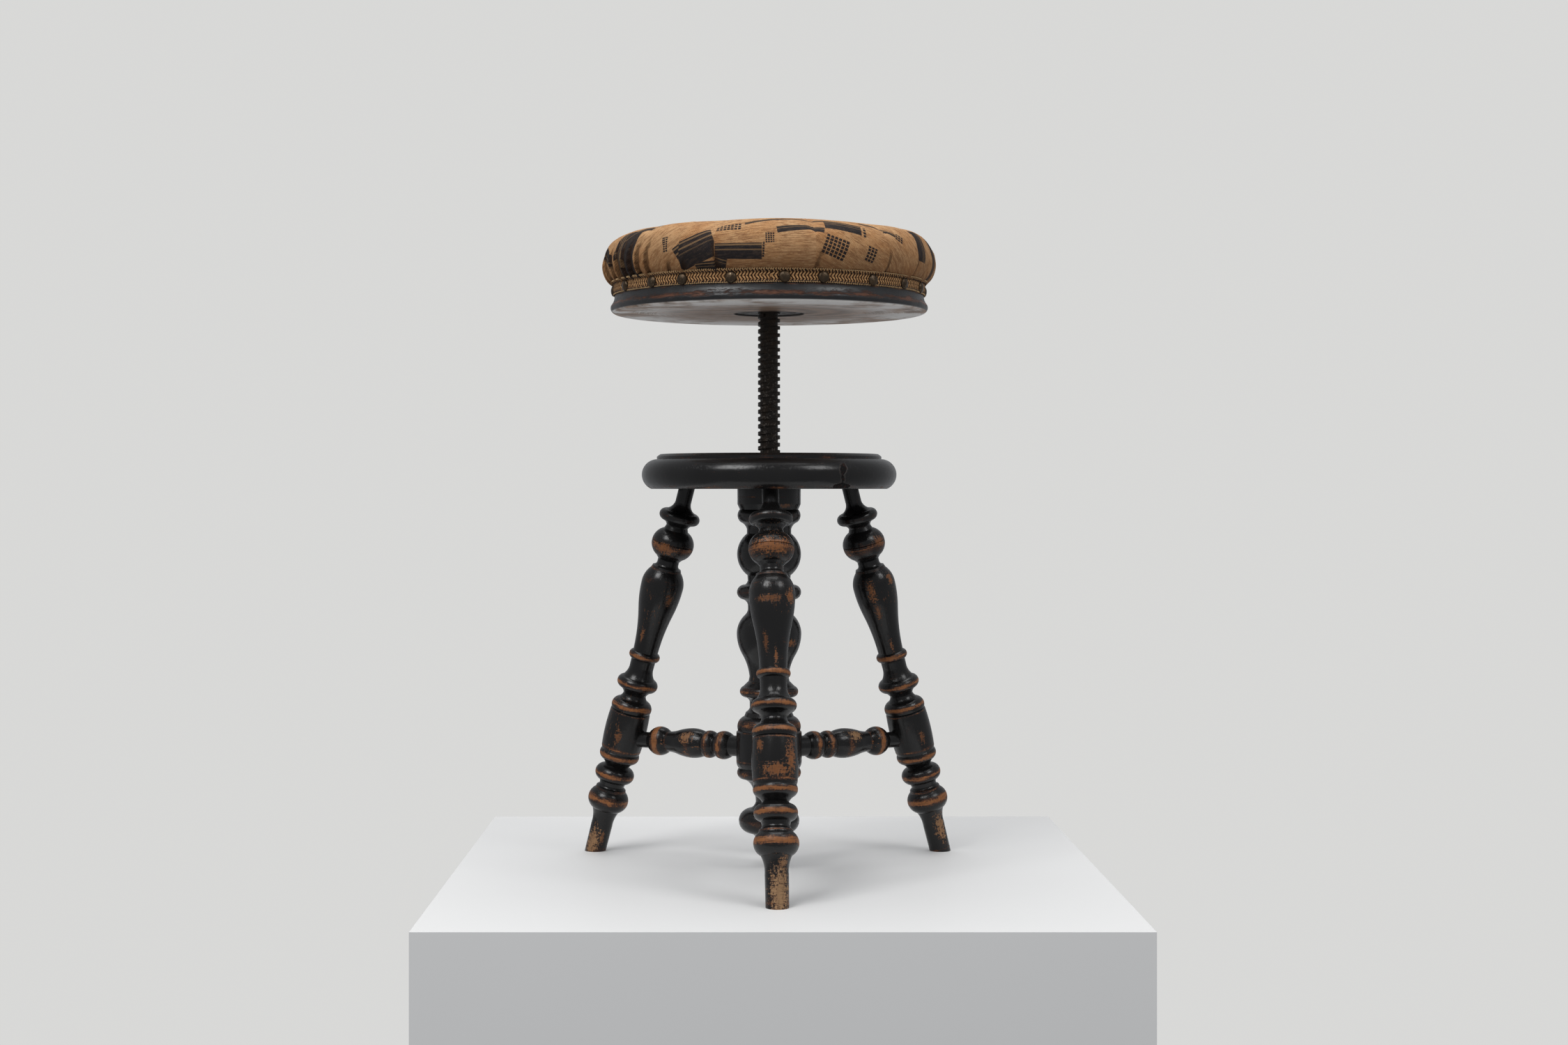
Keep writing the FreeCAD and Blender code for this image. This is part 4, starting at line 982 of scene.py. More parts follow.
def face_outwards(piece: bpy.types.Object) -> None:
    """Turns the normals of a closed piece outwards.

    Args:
        piece: The piece.
    """
    graph = bmesh.new()
    graph.from_mesh(piece.data)
    bmesh.ops.recalc_face_normals(graph, faces=graph.faces)
    graph.to_mesh(piece.data)
    graph.free()


def about_axis(angle: float, radius: float, height: float) -> tuple[float, float, float]:
    """A place round the stool.

    Args:
        angle: Degrees from the front.
        radius: Distance from the axis, in millimetres.
        height: Height, in millimetres.

    Returns:
        The point, in metres.
    """
    a = math.radians(angle)
    return (radius * math.sin(a) * MM, -radius * math.cos(a) * MM, height * MM)


def eased(value: float, low: float, high: float) -> float:
    """A soft step from 0 at low to 1 at high.

    Args:
        value: The value to step on.
        low: Where it starts.
        high: Where it ends. It may be below low.

    Returns:
        The step.
    """
    share = min(1.0, max(0.0, (value - low) / (high - low)))
    return share * share * (3.0 - 2.0 * share)


def angle_between(a: float, b: float) -> float:
    """The signed turn from b to a, in degrees, between -180 and 180."""
    return (a - b + 180.0) % 360.0 - 180.0


# Upholstery


@dataclass
class Pleat:
    """One fold where spare cloth is taken in, at an angle from the front, in degrees towards +X."""

    at: float
    depth: float
    top: float
    lean: float = 0.0
    spread: float = 7.0


@dataclass
class Cushion:
    """The stuffed seat in its woven cover."""

    finish: CoverCloth
    pleats: tuple[Pleat, ...]
    profile: list[tuple[float, float]] = field(default_factory=lambda: [
        (160.30, 603.2), (160.35, 606.0), (160.45, 609.0), (160.9, 611.8), (162.3, 613.8), (164.8, 615.6),
        (167.8, 618.2), (170.2, 621.2), (172.3, 625.0), (173.8, 629.0), (174.7, 633.0), (174.8, 637.0),
        (174.3, 641.0), (173.1, 646.0), (171.0, 651.0), (167.9, 655.6), (163.6, 659.6), (158.0, 662.9),
        (151.0, 665.1), (142.0, 666.5), (131.0, 667.3), (118.0, 667.6), (104.0, 667.5), (88.0, 667.1),
        (70.0, 666.5), (50.0, 665.9), (30.0, 665.4), (12.0, 665.1),
    ])
    middle: float = 665.0
    board_radius: float = 158.0
    board_top: float = 614.2
    hem_foot: float = 603.2
    flat_within: float = 140.0
    panel_from: float = 196.0
    panel_radius: float = 170.0
    columns: int = 300
    frames: int = 20
    cap: float = 4.0
    pressure: float = 4.0
    pinned_below: float = 616.5
    crease_step: float = 1.5
    deep_crease: float = 1.1
    fullness: float = 1.35
    hollow_spread: float = 0.7
    hollow_depth: float = 0.8
    pleat_foot: float = 618.0
    hem_from: float = 609.0
    hem_to: float = 616.0
    turned_under: float = 4.0
    pleat_clear: float = 1.6
    least_step: float = 0.2
    pleat_steps: tuple[float, ...] = (-1.4, -0.8, -0.35, 0.0, 0.35, 0.8, 1.4)

    def __post_init__(self) -> None:
        """Puts a further point between each two of the profile, on a smooth curve through them."""
        given = self.profile
        padded = [given[0], *given, given[-1]]
        flowing = []
        for before, here, there, after in zip(padded, padded[1:], padded[2:], padded[3:]):
            middle = tuple((9.0 * (here[k] + there[k]) - before[k] - after[k]) / 16.0 for k in range(2))
            flowing += [here, middle]
        self.profile = flowing + [given[-1]]

    def angles(self) -> list[float]:
        """Columns of the mesh, in degrees from the front, closer together at the pleats.

        Returns:
            The angles, from -180 up.
        """
        wanted = [-180.0 + 360.0 * i / self.columns for i in range(self.columns)]
        for pleat in self.pleats:
            wanted = [a for a in wanted if abs(angle_between(a, pleat.at)) > self.pleat_clear]
            wanted += [pleat.at + step for step in self.pleat_steps]
        wanted = sorted((a + 180.0) % 360.0 - 180.0 for a in wanted)
        kept = [wanted[0]]
        for angle in wanted[1:]:
            if angle - kept[-1] > self.least_step:
                kept.append(angle)
        return kept

    def arc_lengths(self) -> list[float]:
        """Cloth length from the middle of the crown to each point of the profile.

        Returns:
            One length for each profile point, in millimetres.
        """
        lengths = [0.0] * len(self.profile)
        before, run = (0.0, self.middle), 0.0
        for i in range(len(self.profile) - 1, -1, -1):
            point = self.profile[i]
            run += math.dist(before, point)
            lengths[i], before = run, point
        return lengths

    def fold(self, angle: float, height: float) -> float:
        """How far the pleats push the cloth out at a place.

        Args:
            angle: Degrees from the front.
            height: Height, in millimetres.

        Returns:
            The push, in millimetres.
        """
        push = 0.0
        for pleat in self.pleats:
            reach = eased(height, pleat.top, self.pleat_foot) * eased(height, self.hem_from, self.hem_to)
            if reach <= 0.0:
                continue
            off = angle_between(angle, pleat.at + pleat.lean * (height - self.pleat_foot))
            most, hollow = self.fullness * pleat.depth * reach, self.hollow_spread * pleat.spread
            if -pleat.spread < off <= 0.0:
                push += most * eased(off, -pleat.spread, 0.0)
            elif 0.0 < off < hollow:
                push -= most * self.hollow_depth * (1.0 - eased(off, 0.0, hollow))
        return push

    def sag(self, angle: float, radius: float, height: float) -> float:
        """Slow unevenness of the stuffing.

        Args:
            angle: Degrees from the front.
            radius: Distance from the axis, in millimetres.
            height: Height, in millimetres.

        Returns:
            The push along the surface's normal, in millimetres.
        """
        a = math.radians(angle)
        slow = 0.7 * math.sin(2.0 * a + 0.6) + 0.5 * math.sin(3.0 * a + 2.1) + 0.35 * math.sin(7.0 * a + 0.4)
        return slow * eased(height, 612.0, 630.0) * eased(radius, 20.0, 120.0)

    def shell(self) -> tuple[bpy.types.Object, list[float], int]:
        """Builds the closed form of the cushion before it settles.

        Returns:
            The object, its columns' angles and the number of rings on its outside.
        """
        angles = self.angles()
        count = len(angles)
        points: list[tuple[float, float, float]] = []
        normals = self.profile_normals()
        for (radius, height), (out, up) in zip(self.profile, normals):
            for angle in angles:
                push = self.sag(angle, radius, height)
                points.append(about_axis(angle, radius + push * out, height + push * up))
        rings = len(self.profile)
        after = [(i + 1) % count for i in range(count)]
        faces = [
            (ring * count + i, ring * count + after[i], (ring + 1) * count + after[i], (ring + 1) * count + i)
            for ring in range(rings - 1) for i in range(count)
        ]
        top = len(points)
        points.append((0.0, 0.0, self.middle * MM))
        faces += [((rings - 1) * count + i, (rings - 1) * count + after[i], top) for i in range(count)]
        under = len(points)
        for height in (self.hem_foot, self.board_top):
            points += [about_axis(angle, self.board_radius, height) for angle in angles]
        faces += [(under + count + after[i], under + count + i, under + i, under + after[i])
                  for i in range(count)]
        faces += [(after[i], i, under + i, under + after[i]) for i in range(count)]
        floor = len(points)
        points.append((0.0, 0.0, self.board_top * MM))
        faces += [(under + count + after[i], under + count + i, floor) for i in range(count)]
        made = mesh_piece("seat_cushion", points, faces)
        face_outwards(made)
        return made, angles, rings

    def take_in(self, shell: bpy.types.Object, angles: list[float], rings: int) -> None:
        """Presses the pleats and the small pulls between them into the settled cover, and stores each point's
        crease depth for the painted shade in the folds.

        Args:
            shell: The settled form.
            angles: Its columns' angles.
            rings: Rings on its outside. Not used.
        """
        count = len(angles)
        # Crease depth for the painted shade in the folds, kept as a point attribute.
        crease = shell.data.attributes.new("crease", "FLOAT", "POINT")
        for ring, ((_radius, height), (out, up)) in enumerate(zip(self.profile, self.profile_normals())):
            for i, angle in enumerate(angles):
                push = self.fold(angle, height) + self.pull(angle, height)
                a = math.radians(angle)
                normal = Vector((out * math.sin(a), -out * math.cos(a), up))
                shell.data.vertices[ring * count + i].co += push * MM * normal
                beside = (angle - self.crease_step, angle + self.crease_step)
                around = sum(self.fold(near, height) + self.pull(near, height) for near in beside) / 2.0
                crease.data[ring * count + i].value = max(0.0, around - push) / self.deep_crease

    def pull(self, angle: float, height: float) -> float:
        """Small ripples where the cover is drawn down to the braid, strongest on the left.

        Args:
            angle: Degrees from the front.
            height: Height, in millimetres.

        Returns:
            The push, in millimetres.
        """
        a = math.radians(angle)
        near = eased(height, 650.0, 622.0) * eased(height, 610.0, 618.0)
        ripple = math.sin(31.0 * a + 1.3 * math.sin(5.0 * a) + 0.05 * (height - 620.0))
        ripple += 0.6 * math.sin(53.0 * a + 2.0 * math.sin(3.0 * a))
        left = 0.35 + 0.65 * eased(abs(angle_between(angle, -38.0)), 34.0, 12.0)
        return 0.42 * ripple * near * left

    def profile_normals(self) -> list[tuple[float, float]]:
        """Outward normals of the profile.

        Returns:
            Out and up share for each point.
        """
        normals = []
        last = len(self.profile) - 1
        for i in range(last + 1):
            a, c = self.profile[max(0, i - 1)], self.profile[min(last, i + 1)]
            dr, dz = c[0] - a[0], c[1] - a[1]
            size = math.hypot(dr, dz)
            normals.append((dz / size, -dr / size))
        return normals

    def settle(self, shell: bpy.types.Object, columns: int, rings: int) -> None:
        """Lets the cover swell over its stuffing, held at the braid, and keeps the measured outline.

        Args:
            shell: The closed form.
            columns: Points in each ring.
            rings: Rings on the outside.
        """
        held = shell.vertex_groups.new(name="held")
        for vertex in shell.data.vertices:
            low = eased(vertex.co.z / MM, self.pinned_below + 5.0, self.pinned_below)
            inside = vertex.index > rings * columns
            held.add([vertex.index], 1.0 if inside else max(low, 0.02), "REPLACE")
        cloth = shell.modifiers.new("cloth", "CLOTH")
        settings = {
            "quality": 5, "mass": 0.3, "tension_stiffness": 25, "compression_stiffness": 25,
            "shear_stiffness": 8, "bending_stiffness": 2, "vertex_group_mass": "held", "use_pressure": True,
            "uniform_pressure_force": self.pressure,
        }
        for name, value in settings.items():
            setattr(cloth.settings, name, value)
        cloth.settings.effector_weights.gravity = 0
        cloth.collision_settings.use_collision = False
        cloth.collision_settings.use_self_collision = False
        cloth.point_cache.frame_start = 1
        cloth.point_cache.frame_end = self.frames
        scene = bpy.context.scene
        for step in range(1, self.frames + 1):
            scene.frame_set(step)
        blown = shell.evaluated_get(bpy.context.evaluated_depsgraph_get())
        moved = [blown.data.vertices[i].co - shell.data.vertices[i].co for i in range(rings * columns)]
        shell.modifiers.clear()
        scene.frame_set(1)
        for ring in range(rings):
            start = ring * columns
            out_mean = up_mean = 0.0
            pushes = []
            for i in range(start, start + columns):
                co = shell.data.vertices[i].co
                flat = Vector((co.x, co.y, 0.0)).normalized()
                out, up = moved[i].dot(flat), moved[i].z
                limit = self.cap * MM
                size = math.hypot(out, up)
                if size > limit:
                    out, up = out * limit / size, up * limit / size
                pushes.append((flat, out, up))
                out_mean += out / columns
                up_mean += up / columns
            for i, (flat, out, up) in zip(range(start, start + columns), pushes):
                vertex = shell.data.vertices[i]
                vertex.co += flat * (out - out_mean) + Vector((0.0, 0.0, up - up_mean))
        log.info("cushion settled over %d frames", self.frames)

    def unroll(self, shell: bpy.types.Object, angles: list[float], rings: int) -> None:
        """Lays the flat cloth over the cushion, straight within each panel between two pleats.

        Args:
            shell: The settled form.
            angles: Its columns' angles.
            rings: Rings on its outside.
        """
        lengths = self.arc_lengths()
        edges = sorted(pleat.at for pleat in self.pleats)
        middles = [low + ((high - low) % 360.0) / 2.0 for low, high in zip(edges, edges[1:] + edges[:1])]

        def panel(angle: float) -> float:
            """Finds the panel that an angle is in.

            Args:
                angle: Degrees from the front.

            Returns:
                The panel's middle, in degrees.
            """
            for low, high, centre in zip(edges, edges[1:] + [edges[0] + 360.0], middles):
                if low <= angle < high or low <= angle + 360.0 < high:
                    return centre
            return angle

        count = len(angles)
        crown = (self.board_top + self.middle) / 2.0 * MM
        under = lengths[0] + self.turned_under
        layer = shell.data.uv_layers.new(name="cloth")
        for face in shell.data.polygons:
            columns = [index % count for index in face.vertices if index < rings * count]
            if not columns:
                for loop in face.loop_indices:
                    co = shell.data.vertices[shell.data.loops[loop].vertex_index].co
                    layer.data[loop].uv = (co.x, co.y)
                continue
            spread = [angles[c] for c in columns]
            if max(spread) - min(spread) > 180.0:
                spread = [a + 360.0 if a < 0.0 else a for a in spread]
            here = sum(spread) / len(spread)
            centre = panel((here + 180.0) % 360.0 - 180.0)
            centre = math.radians(here + angle_between(centre, here))
            for loop in face.loop_indices:
                index = shell.data.loops[loop].vertex_index
                if index >= rings * count:
                    co = shell.data.vertices[index].co
                    run, angle = (0.0, 0.0) if co.z > crown else (under, math.atan2(co.x, -co.y))
                else:
                    run = lengths[index // count]
                    angle = math.radians(here + angle_between(angles[index % count], here))
                share = eased(run, self.flat_within, self.panel_from)
                along = self.panel_radius * (angle - centre)
                panel_u = run * math.sin(centre) + along * math.cos(centre)
                panel_v = along * math.sin(centre) - run * math.cos(centre)
                u = (1.0 - share) * run * math.sin(angle) + share * panel_u
                v = -(1.0 - share) * run * math.cos(angle) + share * panel_v
                layer.data[loop].uv = (u * MM, v * MM)

    def build(self) -> bpy.types.Object:
        """Makes the finished cushion.

        Returns:
            The cushion, ready to ride.
        """
        made, angles, rings = self.shell()
        self.settle(made, len(angles), rings)
        self.take_in(made, angles, rings)
        self.unroll(made, angles, rings)
        made.data.materials.append(self.finish.material())
        made.vertex_groups.clear()
        return made


@dataclass
class Trim:
    """The braid round the edge, its edge stitches and the nails through it."""

    braid: BraidCloth
    pale_thread: EdgeThread
    dark_thread: EdgeThread
    bronze: OldMetal
    nail_angles: list[float]
    inner: float = 161.25
    outer: float = 163.1
    top: float = 615.9
    foot: float = 602.1
    flare: float = 3.9
    flare_from: float = 0.70
    flare_to: float = 1.12
    sway_held: float = 0.6
    thickness_kept: float = 0.5
    steps: int = 720
    nail_height: float = 607.9
    nail_radius: float = 6.0
    nail_dome: float = 3.4
    nail_stand: float = 0.35
    stitch_pitch: float = 2.3
    stitch_half: float = 1.25
    thread_half: float = 0.55
    seed: int = 7

    def sway(self, angle: float) -> float:
        """Up and down wander of the braid, in millimetres, at degrees from the front."""
        a = math.radians(angle)
        return 0.28 * math.sin(3.0 * a + 1.0) + 0.2 * math.sin(8.0 * a) + 0.14 * math.sin(17.0 * a + 2.0)

    def puff(self, angle: float) -> float:
        """How far the braid stands out between two nails.

        Args:
            angle: Degrees from the front.

        Returns:
            The distance, in millimetres.
        """
        near = min(abs(angle_between(angle, nail)) for nail in self.nail_angles)
        return 0.55 * eased(near, 1.5, 6.0)

    def build_braid(self) -> bpy.types.Object:
        """Makes the band.

        Returns:
            The braid.
        """
        face = ((-0.45, 0.985), (-0.05, 0.93), (0.1, 0.8), (0.2, 0.65), (0.25, 0.5), (0.2, 0.35), (0.1, 0.2),
                (-0.05, 0.07), (-0.45, 0.015))
        across = [(self.inner, 0.02), (self.inner, 0.5), (self.inner, 0.98), (self.inner + 0.9, 1.0)]
        across += [(self.outer + out, share) for out, share in face]
        across.append((self.inner + 0.9, 0.0))
        width = self.top - self.foot
        points = []
        for i in range(self.steps):
            angle = 360.0 * i / self.steps
            puff, sway = self.puff(angle), self.sway(angle)
            for radius, share in across:
                free = puff if radius > self.inner + self.thickness_kept else 0.0
                out = radius + free + self.flared(share)
                points.append(about_axis(angle, out, self.foot + width * share + sway * self.loose(share)))
        ring = len(across)
        faces = [
            (i * ring + k, ((i + 1) % self.steps) * ring + k,
             ((i + 1) % self.steps) * ring + (k + 1) % ring, i * ring + (k + 1) % ring)
            for i in range(self.steps) for k in range(ring)
        ]
        made = mesh_piece("woven_braid", points, faces, self.braid.material())
        girth = 2.0 * math.pi * self.outer * MM
        layer = made.data.uv_layers.new(name="band")
        for face in made.data.polygons:
            steps = [made.data.loops[loop].vertex_index // ring for loop in face.loop_indices]
            wraps = max(steps) - min(steps) > 1
            for loop in face.loop_indices:
                index = made.data.loops[loop].vertex_index
                step = index // ring
                if wraps and step == 0:
                    step = self.steps
                layer.data[loop].uv = (girth * step / self.steps, across[index % ring][1])
        face_outwards(made)
        return made

    def spots(self, name: str, places: Iterable[tuple[float, float, float]]) -> bpy.types.Object:
        """Loose points for a geometry tree to work on.

        Args:
            name: The object's name.
            places: Angle, radius and height of each.

        Returns:
            An object of points only.
        """
        return mesh_piece(name, [about_axis(*place) for place in places], [])

    def flared(self, share: float) -> float:
        """How far the braid leans out at a share of its height, in millimetres."""
        return self.flare * eased(share, self.flare_from, self.flare_to)

    def loose(self, share: float) -> float:
        """How much of the braid's wander is left at a share of its height."""
        return 1.0 - self.sway_held * share

    def stitch_places(self, height: float, shift: float) -> list[tuple[float, float, float]]:
        """Where the stitches of one edge go.

        Args:
            height: Height of the edge, in millimetres.
            shift: Share of a pitch that the row is moved by.

        Returns:
            Angle, radius and height of each stitch.
        """
        count = int(2.0 * math.pi * self.outer / self.stitch_pitch)
        places = []
        for i in range(count):
            angle = 360.0 * (i + shift) / count
            share = (height - self.foot) / (self.top - self.foot)
            out = self.outer + self.flared(share) + self.puff(angle)
            places.append((angle, out, height + self.sway(angle) * self.loose(share)))
        return places

    def build_stitches(self, name: str, height: float, lean: float, shift: float,
                       finish: EdgeThread) -> bpy.types.Object:
        """Makes the row of slanting stitches along one edge of the braid.

        Args:
            name: The piece's name.
            height: Height of the row, in millimetres.
            lean: Slant of each stitch, in degrees.
            shift: Share of a pitch that the row is moved by.
            finish: The thread.

        Returns:
            The row.
        """
        piece = self.spots(name, self.stitch_places(height, shift))
        tree = PointTree(name, {"Long": self.stitch_half * MM, "Thick": self.thread_half * MM,
                                "Lean": math.radians(lean)}, self.seed)
        tree.stitch(finish.material())
        tree.apply(piece)
        return piece

    def build_nails(self) -> bpy.types.Object:
        """Makes the domed heads.

        Returns:
            The nails.
        """
        places = [(angle, self.outer + self.nail_stand, self.nail_height + self.sway(angle))
                  for angle in self.nail_angles]
        piece = self.spots("upholstery_nails", places)
        tree = PointTree("upholstery_nails", {"Head": self.nail_radius * MM, "Dome": self.nail_dome * MM,
                                              "Lean": math.radians(5.0)}, self.seed)
        tree.nail(self.bronze.material())
        tree.apply(piece)
        return piece


class PointTree:
    """A geometry tree that puts a shape on every point of a piece, turned outwards from the stool's axis."""

    def __init__(self, name: str, sizes: dict[str, float], seed: int) -> None:
        """Starts the tree.

        Args:
            name: The tree's name.
            sizes: Named inputs and their values.
            seed: Seed of all that is random in it.
        """
        self.tree = bpy.data.node_groups.new(name, "GeometryNodeTree")
        self.tree.interface.new_socket("Geometry", in_out="INPUT", socket_type="NodeSocketGeometry")
        self.values = dict(sizes)
        self.ids = {}
        for label in sizes:
            socket = self.tree.interface.new_socket(label, in_out="INPUT", socket_type="NodeSocketFloat")
            self.ids[label] = socket.identifier
        socket = self.tree.interface.new_socket("Seed", in_out="INPUT", socket_type="NodeSocketInt")
        self.ids["Seed"], self.values["Seed"] = socket.identifier, seed
        self.tree.interface.new_socket("Geometry", in_out="OUTPUT", socket_type="NodeSocketGeometry")
        self.bench = Bench(self.tree)
        self.given = self.bench.node("NodeGroupInput").outputs

    def outward(self, spin: Feed) -> Socket:
        """Rotation that points Z away from the stool's axis, after a spin about it.

        Args:
            spin: Turn about the outward line, in radians.

        Returns:
            The rotation.
        """
        b = self.bench
        place = b.node("GeometryNodeInputPosition").outputs[0]
        level = b.vector("MULTIPLY", place, (1.0, 1.0, 0.0))
        aim = b.node("FunctionNodeAlignRotationToVector", axis="Z", pivot_axis="AUTO")
        b.feed(level, aim.inputs["Vector"])
        local = b.node("FunctionNodeEulerToRotation")
        b.feed(b.join(0.0, 0.0, spin), local.inputs[0])
        turned = b.node("FunctionNodeRotateRotation", rotation_space="LOCAL")
        b.feed(aim.outputs[0], turned.inputs[0])
        b.feed(local.outputs[0], turned.inputs[1])
        return turned.outputs[0]

    def chance(self, low: float, high: float, salt: int) -> Socket:
        """A random value for each point.

        Args:
            low: Lowest value.
            high: Highest value.
            salt: Tells one random value from another.

        Returns:
            The value.
        """
        b = self.bench
        made = b.node("FunctionNodeRandomValue", data_type="FLOAT")
        inputs = [s for s in made.inputs if s.enabled]
        inputs[0].default_value, inputs[1].default_value = low, high
        b.feed(b.add(self.given["Seed"], float(salt)), made.inputs["Seed"])
        return next(s for s in made.outputs if s.enabled)

    def shaped(self, mesh: Socket, scale: Socket) -> Socket:
        """Scales the shape before it is placed.

        Args:
            mesh: The shape.
            scale: Its scale.

        Returns:
            The new shape.
        """
        b = self.bench
        return b.fill(b.node("GeometryNodeTransform"), Geometry=mesh, Scale=scale).outputs[0]

    def finish(self, shape: Socket, rotation: Socket, material: bpy.types.Material) -> None:
        """Places the shape on the points, makes it plain and gives it its material.

        Args:
            shape: The shape.
            rotation: Its rotation at each point.
            material: Its material.
        """
        b = self.bench
        chain = b.fill(b.node("GeometryNodeInstanceOnPoints"), Points=self.given["Geometry"], Instance=shape,
                       Rotation=rotation)
        for kind in ("RealizeInstances", "SetShadeSmooth", "SetMaterial"):
            step = b.node(f"GeometryNode{kind}")
            b.feed(chain.outputs[0], step.inputs[0])
            chain = step
        chain.inputs["Material"].default_value = material
        b.feed(chain.outputs[0], b.node("NodeGroupOutput").inputs[0])

    def ball(self, segments: int, rings: int) -> Socket:
        """A round mesh of radius 1.

        Args:
            segments: Parts round it.
            rings: Parts from pole to pole.

        Returns:
            The mesh.
        """
        sphere = self.bench.node("GeometryNodeMeshUVSphere")
        return self.bench.fill(sphere, Segments=segments, Rings=rings, Radius=1.0).outputs[0]

    def stitch(self, material: bpy.types.Material) -> None:
        """Fills the tree for a short slanting stitch.

        Args:
            material: The thread.
        """
        b = self.bench
        scale = b.join(self.given["Long"], self.given["Thick"], self.given["Thick"])
        shape = self.shaped(self.ball(6, 5), scale)
        spin = b.add(self.given["Lean"], self.chance(-0.22, 0.22, 3))
        self.finish(shape, self.outward(spin), material)

    def nail(self, material: bpy.types.Material) -> None:
        """Fills the tree for a domed, dented nail head with a flat underside.

        Args:
            material: The metal.
        """
        b = self.bench
        place = b.node("GeometryNodeInputPosition").outputs[0]
        x, y, z = b.split(place)
        flat = b.most(z, -0.12)
        beaten = b.fill(b.node("ShaderNodeTexNoise"), Vector=place, Scale=1.7)
        dent = b.add(0.95, b.mul(beaten.outputs["Fac"], 0.1))
        dented = b.join(b.mul(x, dent), b.mul(y, dent), b.mul(flat, dent))
        move = b.fill(b.node("GeometryNodeSetPosition"), Geometry=self.ball(28, 20), Position=dented)
        size = b.join(self.given["Head"], self.given["Head"], self.given["Dome"])
        head = self.shaped(move.outputs[0], size)
        spin = b.mul(self.chance(-1.0, 1.0, 11), math.pi)
        self.finish(head, self.outward(spin), material)

    def apply(self, piece: bpy.types.Object) -> None:
        """Runs the tree on a piece and keeps the result as plain mesh.

        Args:
            piece: An object of points.
        """
        runs = piece.modifiers.new(self.tree.name, "NODES")
        runs.node_group = self.tree
        for label, value in self.values.items():
            runs[self.ids[label]] = value
        bake(piece)


# Tables


def rows(kind: type, table: Iterable[Sequence[float]]) -> tuple:
    """One object of a kind for each row of its values, in the order of its fields."""
    return tuple(kind(*row) for row in table)


LEG_CRESTS = rows(Crest, (
    (-31.5, 3.5, 0.34), (-64.0, 8.5, 0.62), (-74.0, 3.0, 0.34), (-90.5, 2.0, 0.48), (-101.0, 8.0, 0.24),
    (-189.4, 4.0, 1.0), (-221.5, 3.6, 0.95), (-246.5, 3.8, 1.0), (-254.6, 1.4, 0.6), (-275.0, 22.0, 0.14),
    (-295.5, 2.6, 0.6), (-304.8, 4.0, 0.95), (-326.2, 4.4, 0.92), (-343.5, 2.0, 0.55), (-354.0, 6.0, 0.98),
    (-413.0, 8.0, 0.5),
))
LEG_SPOTS = {
    "front": rows(Spot, (
        (-64.0, 11.0, 0.0, 80.0, 0.9), (-114.5, 10.0, 50.0, 20.0, 0.9), (-118.0, 5.0, -10.0, 45.0, 0.5),
        (-176.0, 13.0, 8.0, 9.0, 0.8), (-160.0, 12.0, -30.0, 12.0, 0.4), (-276.0, 22.0, 42.0, 20.0, 0.9),
        (-287.0, 8.0, 0.0, 55.0, 0.75), (-262.0, 8.0, -45.0, 14.0, 0.6),
        (-404.0, 32.0, 14.0, 78.0, 1.0, 1.0), (-376.0, 9.0, 28.0, 30.0, 0.8, 0.8),
    )),
    "right": rows(Spot, (
        (-112.0, 16.0, -133.0, 14.0, 0.9), (-136.0, 12.0, -128.0, 12.0, 0.7),
        (-104.0, 9.0, -66.0, 14.0, 0.7), (-176.0, 12.0, -112.0, 10.0, 0.7),
        (-388.0, 20.0, -86.0, 42.0, 1.0, 0.7), (-60.0, 8.0, -75.0, 26.0, 0.7),
        (-281.0, 9.0, -95.0, 12.0, 0.5),
    )),
    "left": rows(Spot, (
        (-164.0, 10.0, 88.0, 12.0, 0.7), (-280.0, 12.0, 104.0, 12.0, 0.6),
        (-405.0, 24.0, 92.0, 48.0, 1.0, 0.8), (-66.0, 8.0, 100.0, 50.0, 0.8),
        (-120.0, 9.0, 150.0, 12.0, 0.5), (-398.0, 10.0, 140.0, 16.0, 0.7),
    )),
}
STRETCHER_SPOTS = {
    "front": rows(Spot, ((-96.0, 12.0, 0.0, 40.0, 0.8, 0.4),)),
    "right": rows(Spot, ((-101.0, 11.0, -52.0, 34.0, 1.0, 0.9),)),
    "left": rows(Spot, ((-95.0, 10.0, 60.0, 30.0, 0.9, 0.5),)),
}
COLUMN_SPOTS = rows(Spot, ((238.0, 5.0, -46.0, 14.0, 0.8), (382.0, 3.0, -60.0, 20.0, 0.5)))
COLUMN_CRESTS = rows(Crest, (
    (391.0, 1.2, 0.4), (371.0, 5.0, 0.35), (291.0, 6.0, 0.35), (186.0, 5.0, 0.75), (152.0, 6.5, 0.75),
    (144.0, 1.6, 0.5), (113.0, 2.5, 0.5), (100.2, 4.5, 0.7), (50.0, 8.0, 0.25),
))
STRETCHER_CRESTS = rows(Crest, (
    (-54.9, 5.5, 0.72), (-71.7, 4.5, 0.72), (-94.0, 9.0, 0.42), (-135.1, 5.5, 0.95), (-123.5, 2.0, 0.5),
))
TOP_CRESTS = rows(Crest, ((401.3, 2.4, 0.46), (431.5, 1.6, 0.3), (434.5, 1.2, 0.22)))


# Stand


def metres(crests: Sequence[Crest]) -> tuple[Crest, ...]:
    """The same crests with their places in metres."""
    return tuple(Crest(c.at * MM, c.half * MM, c.strength) for c in crests)


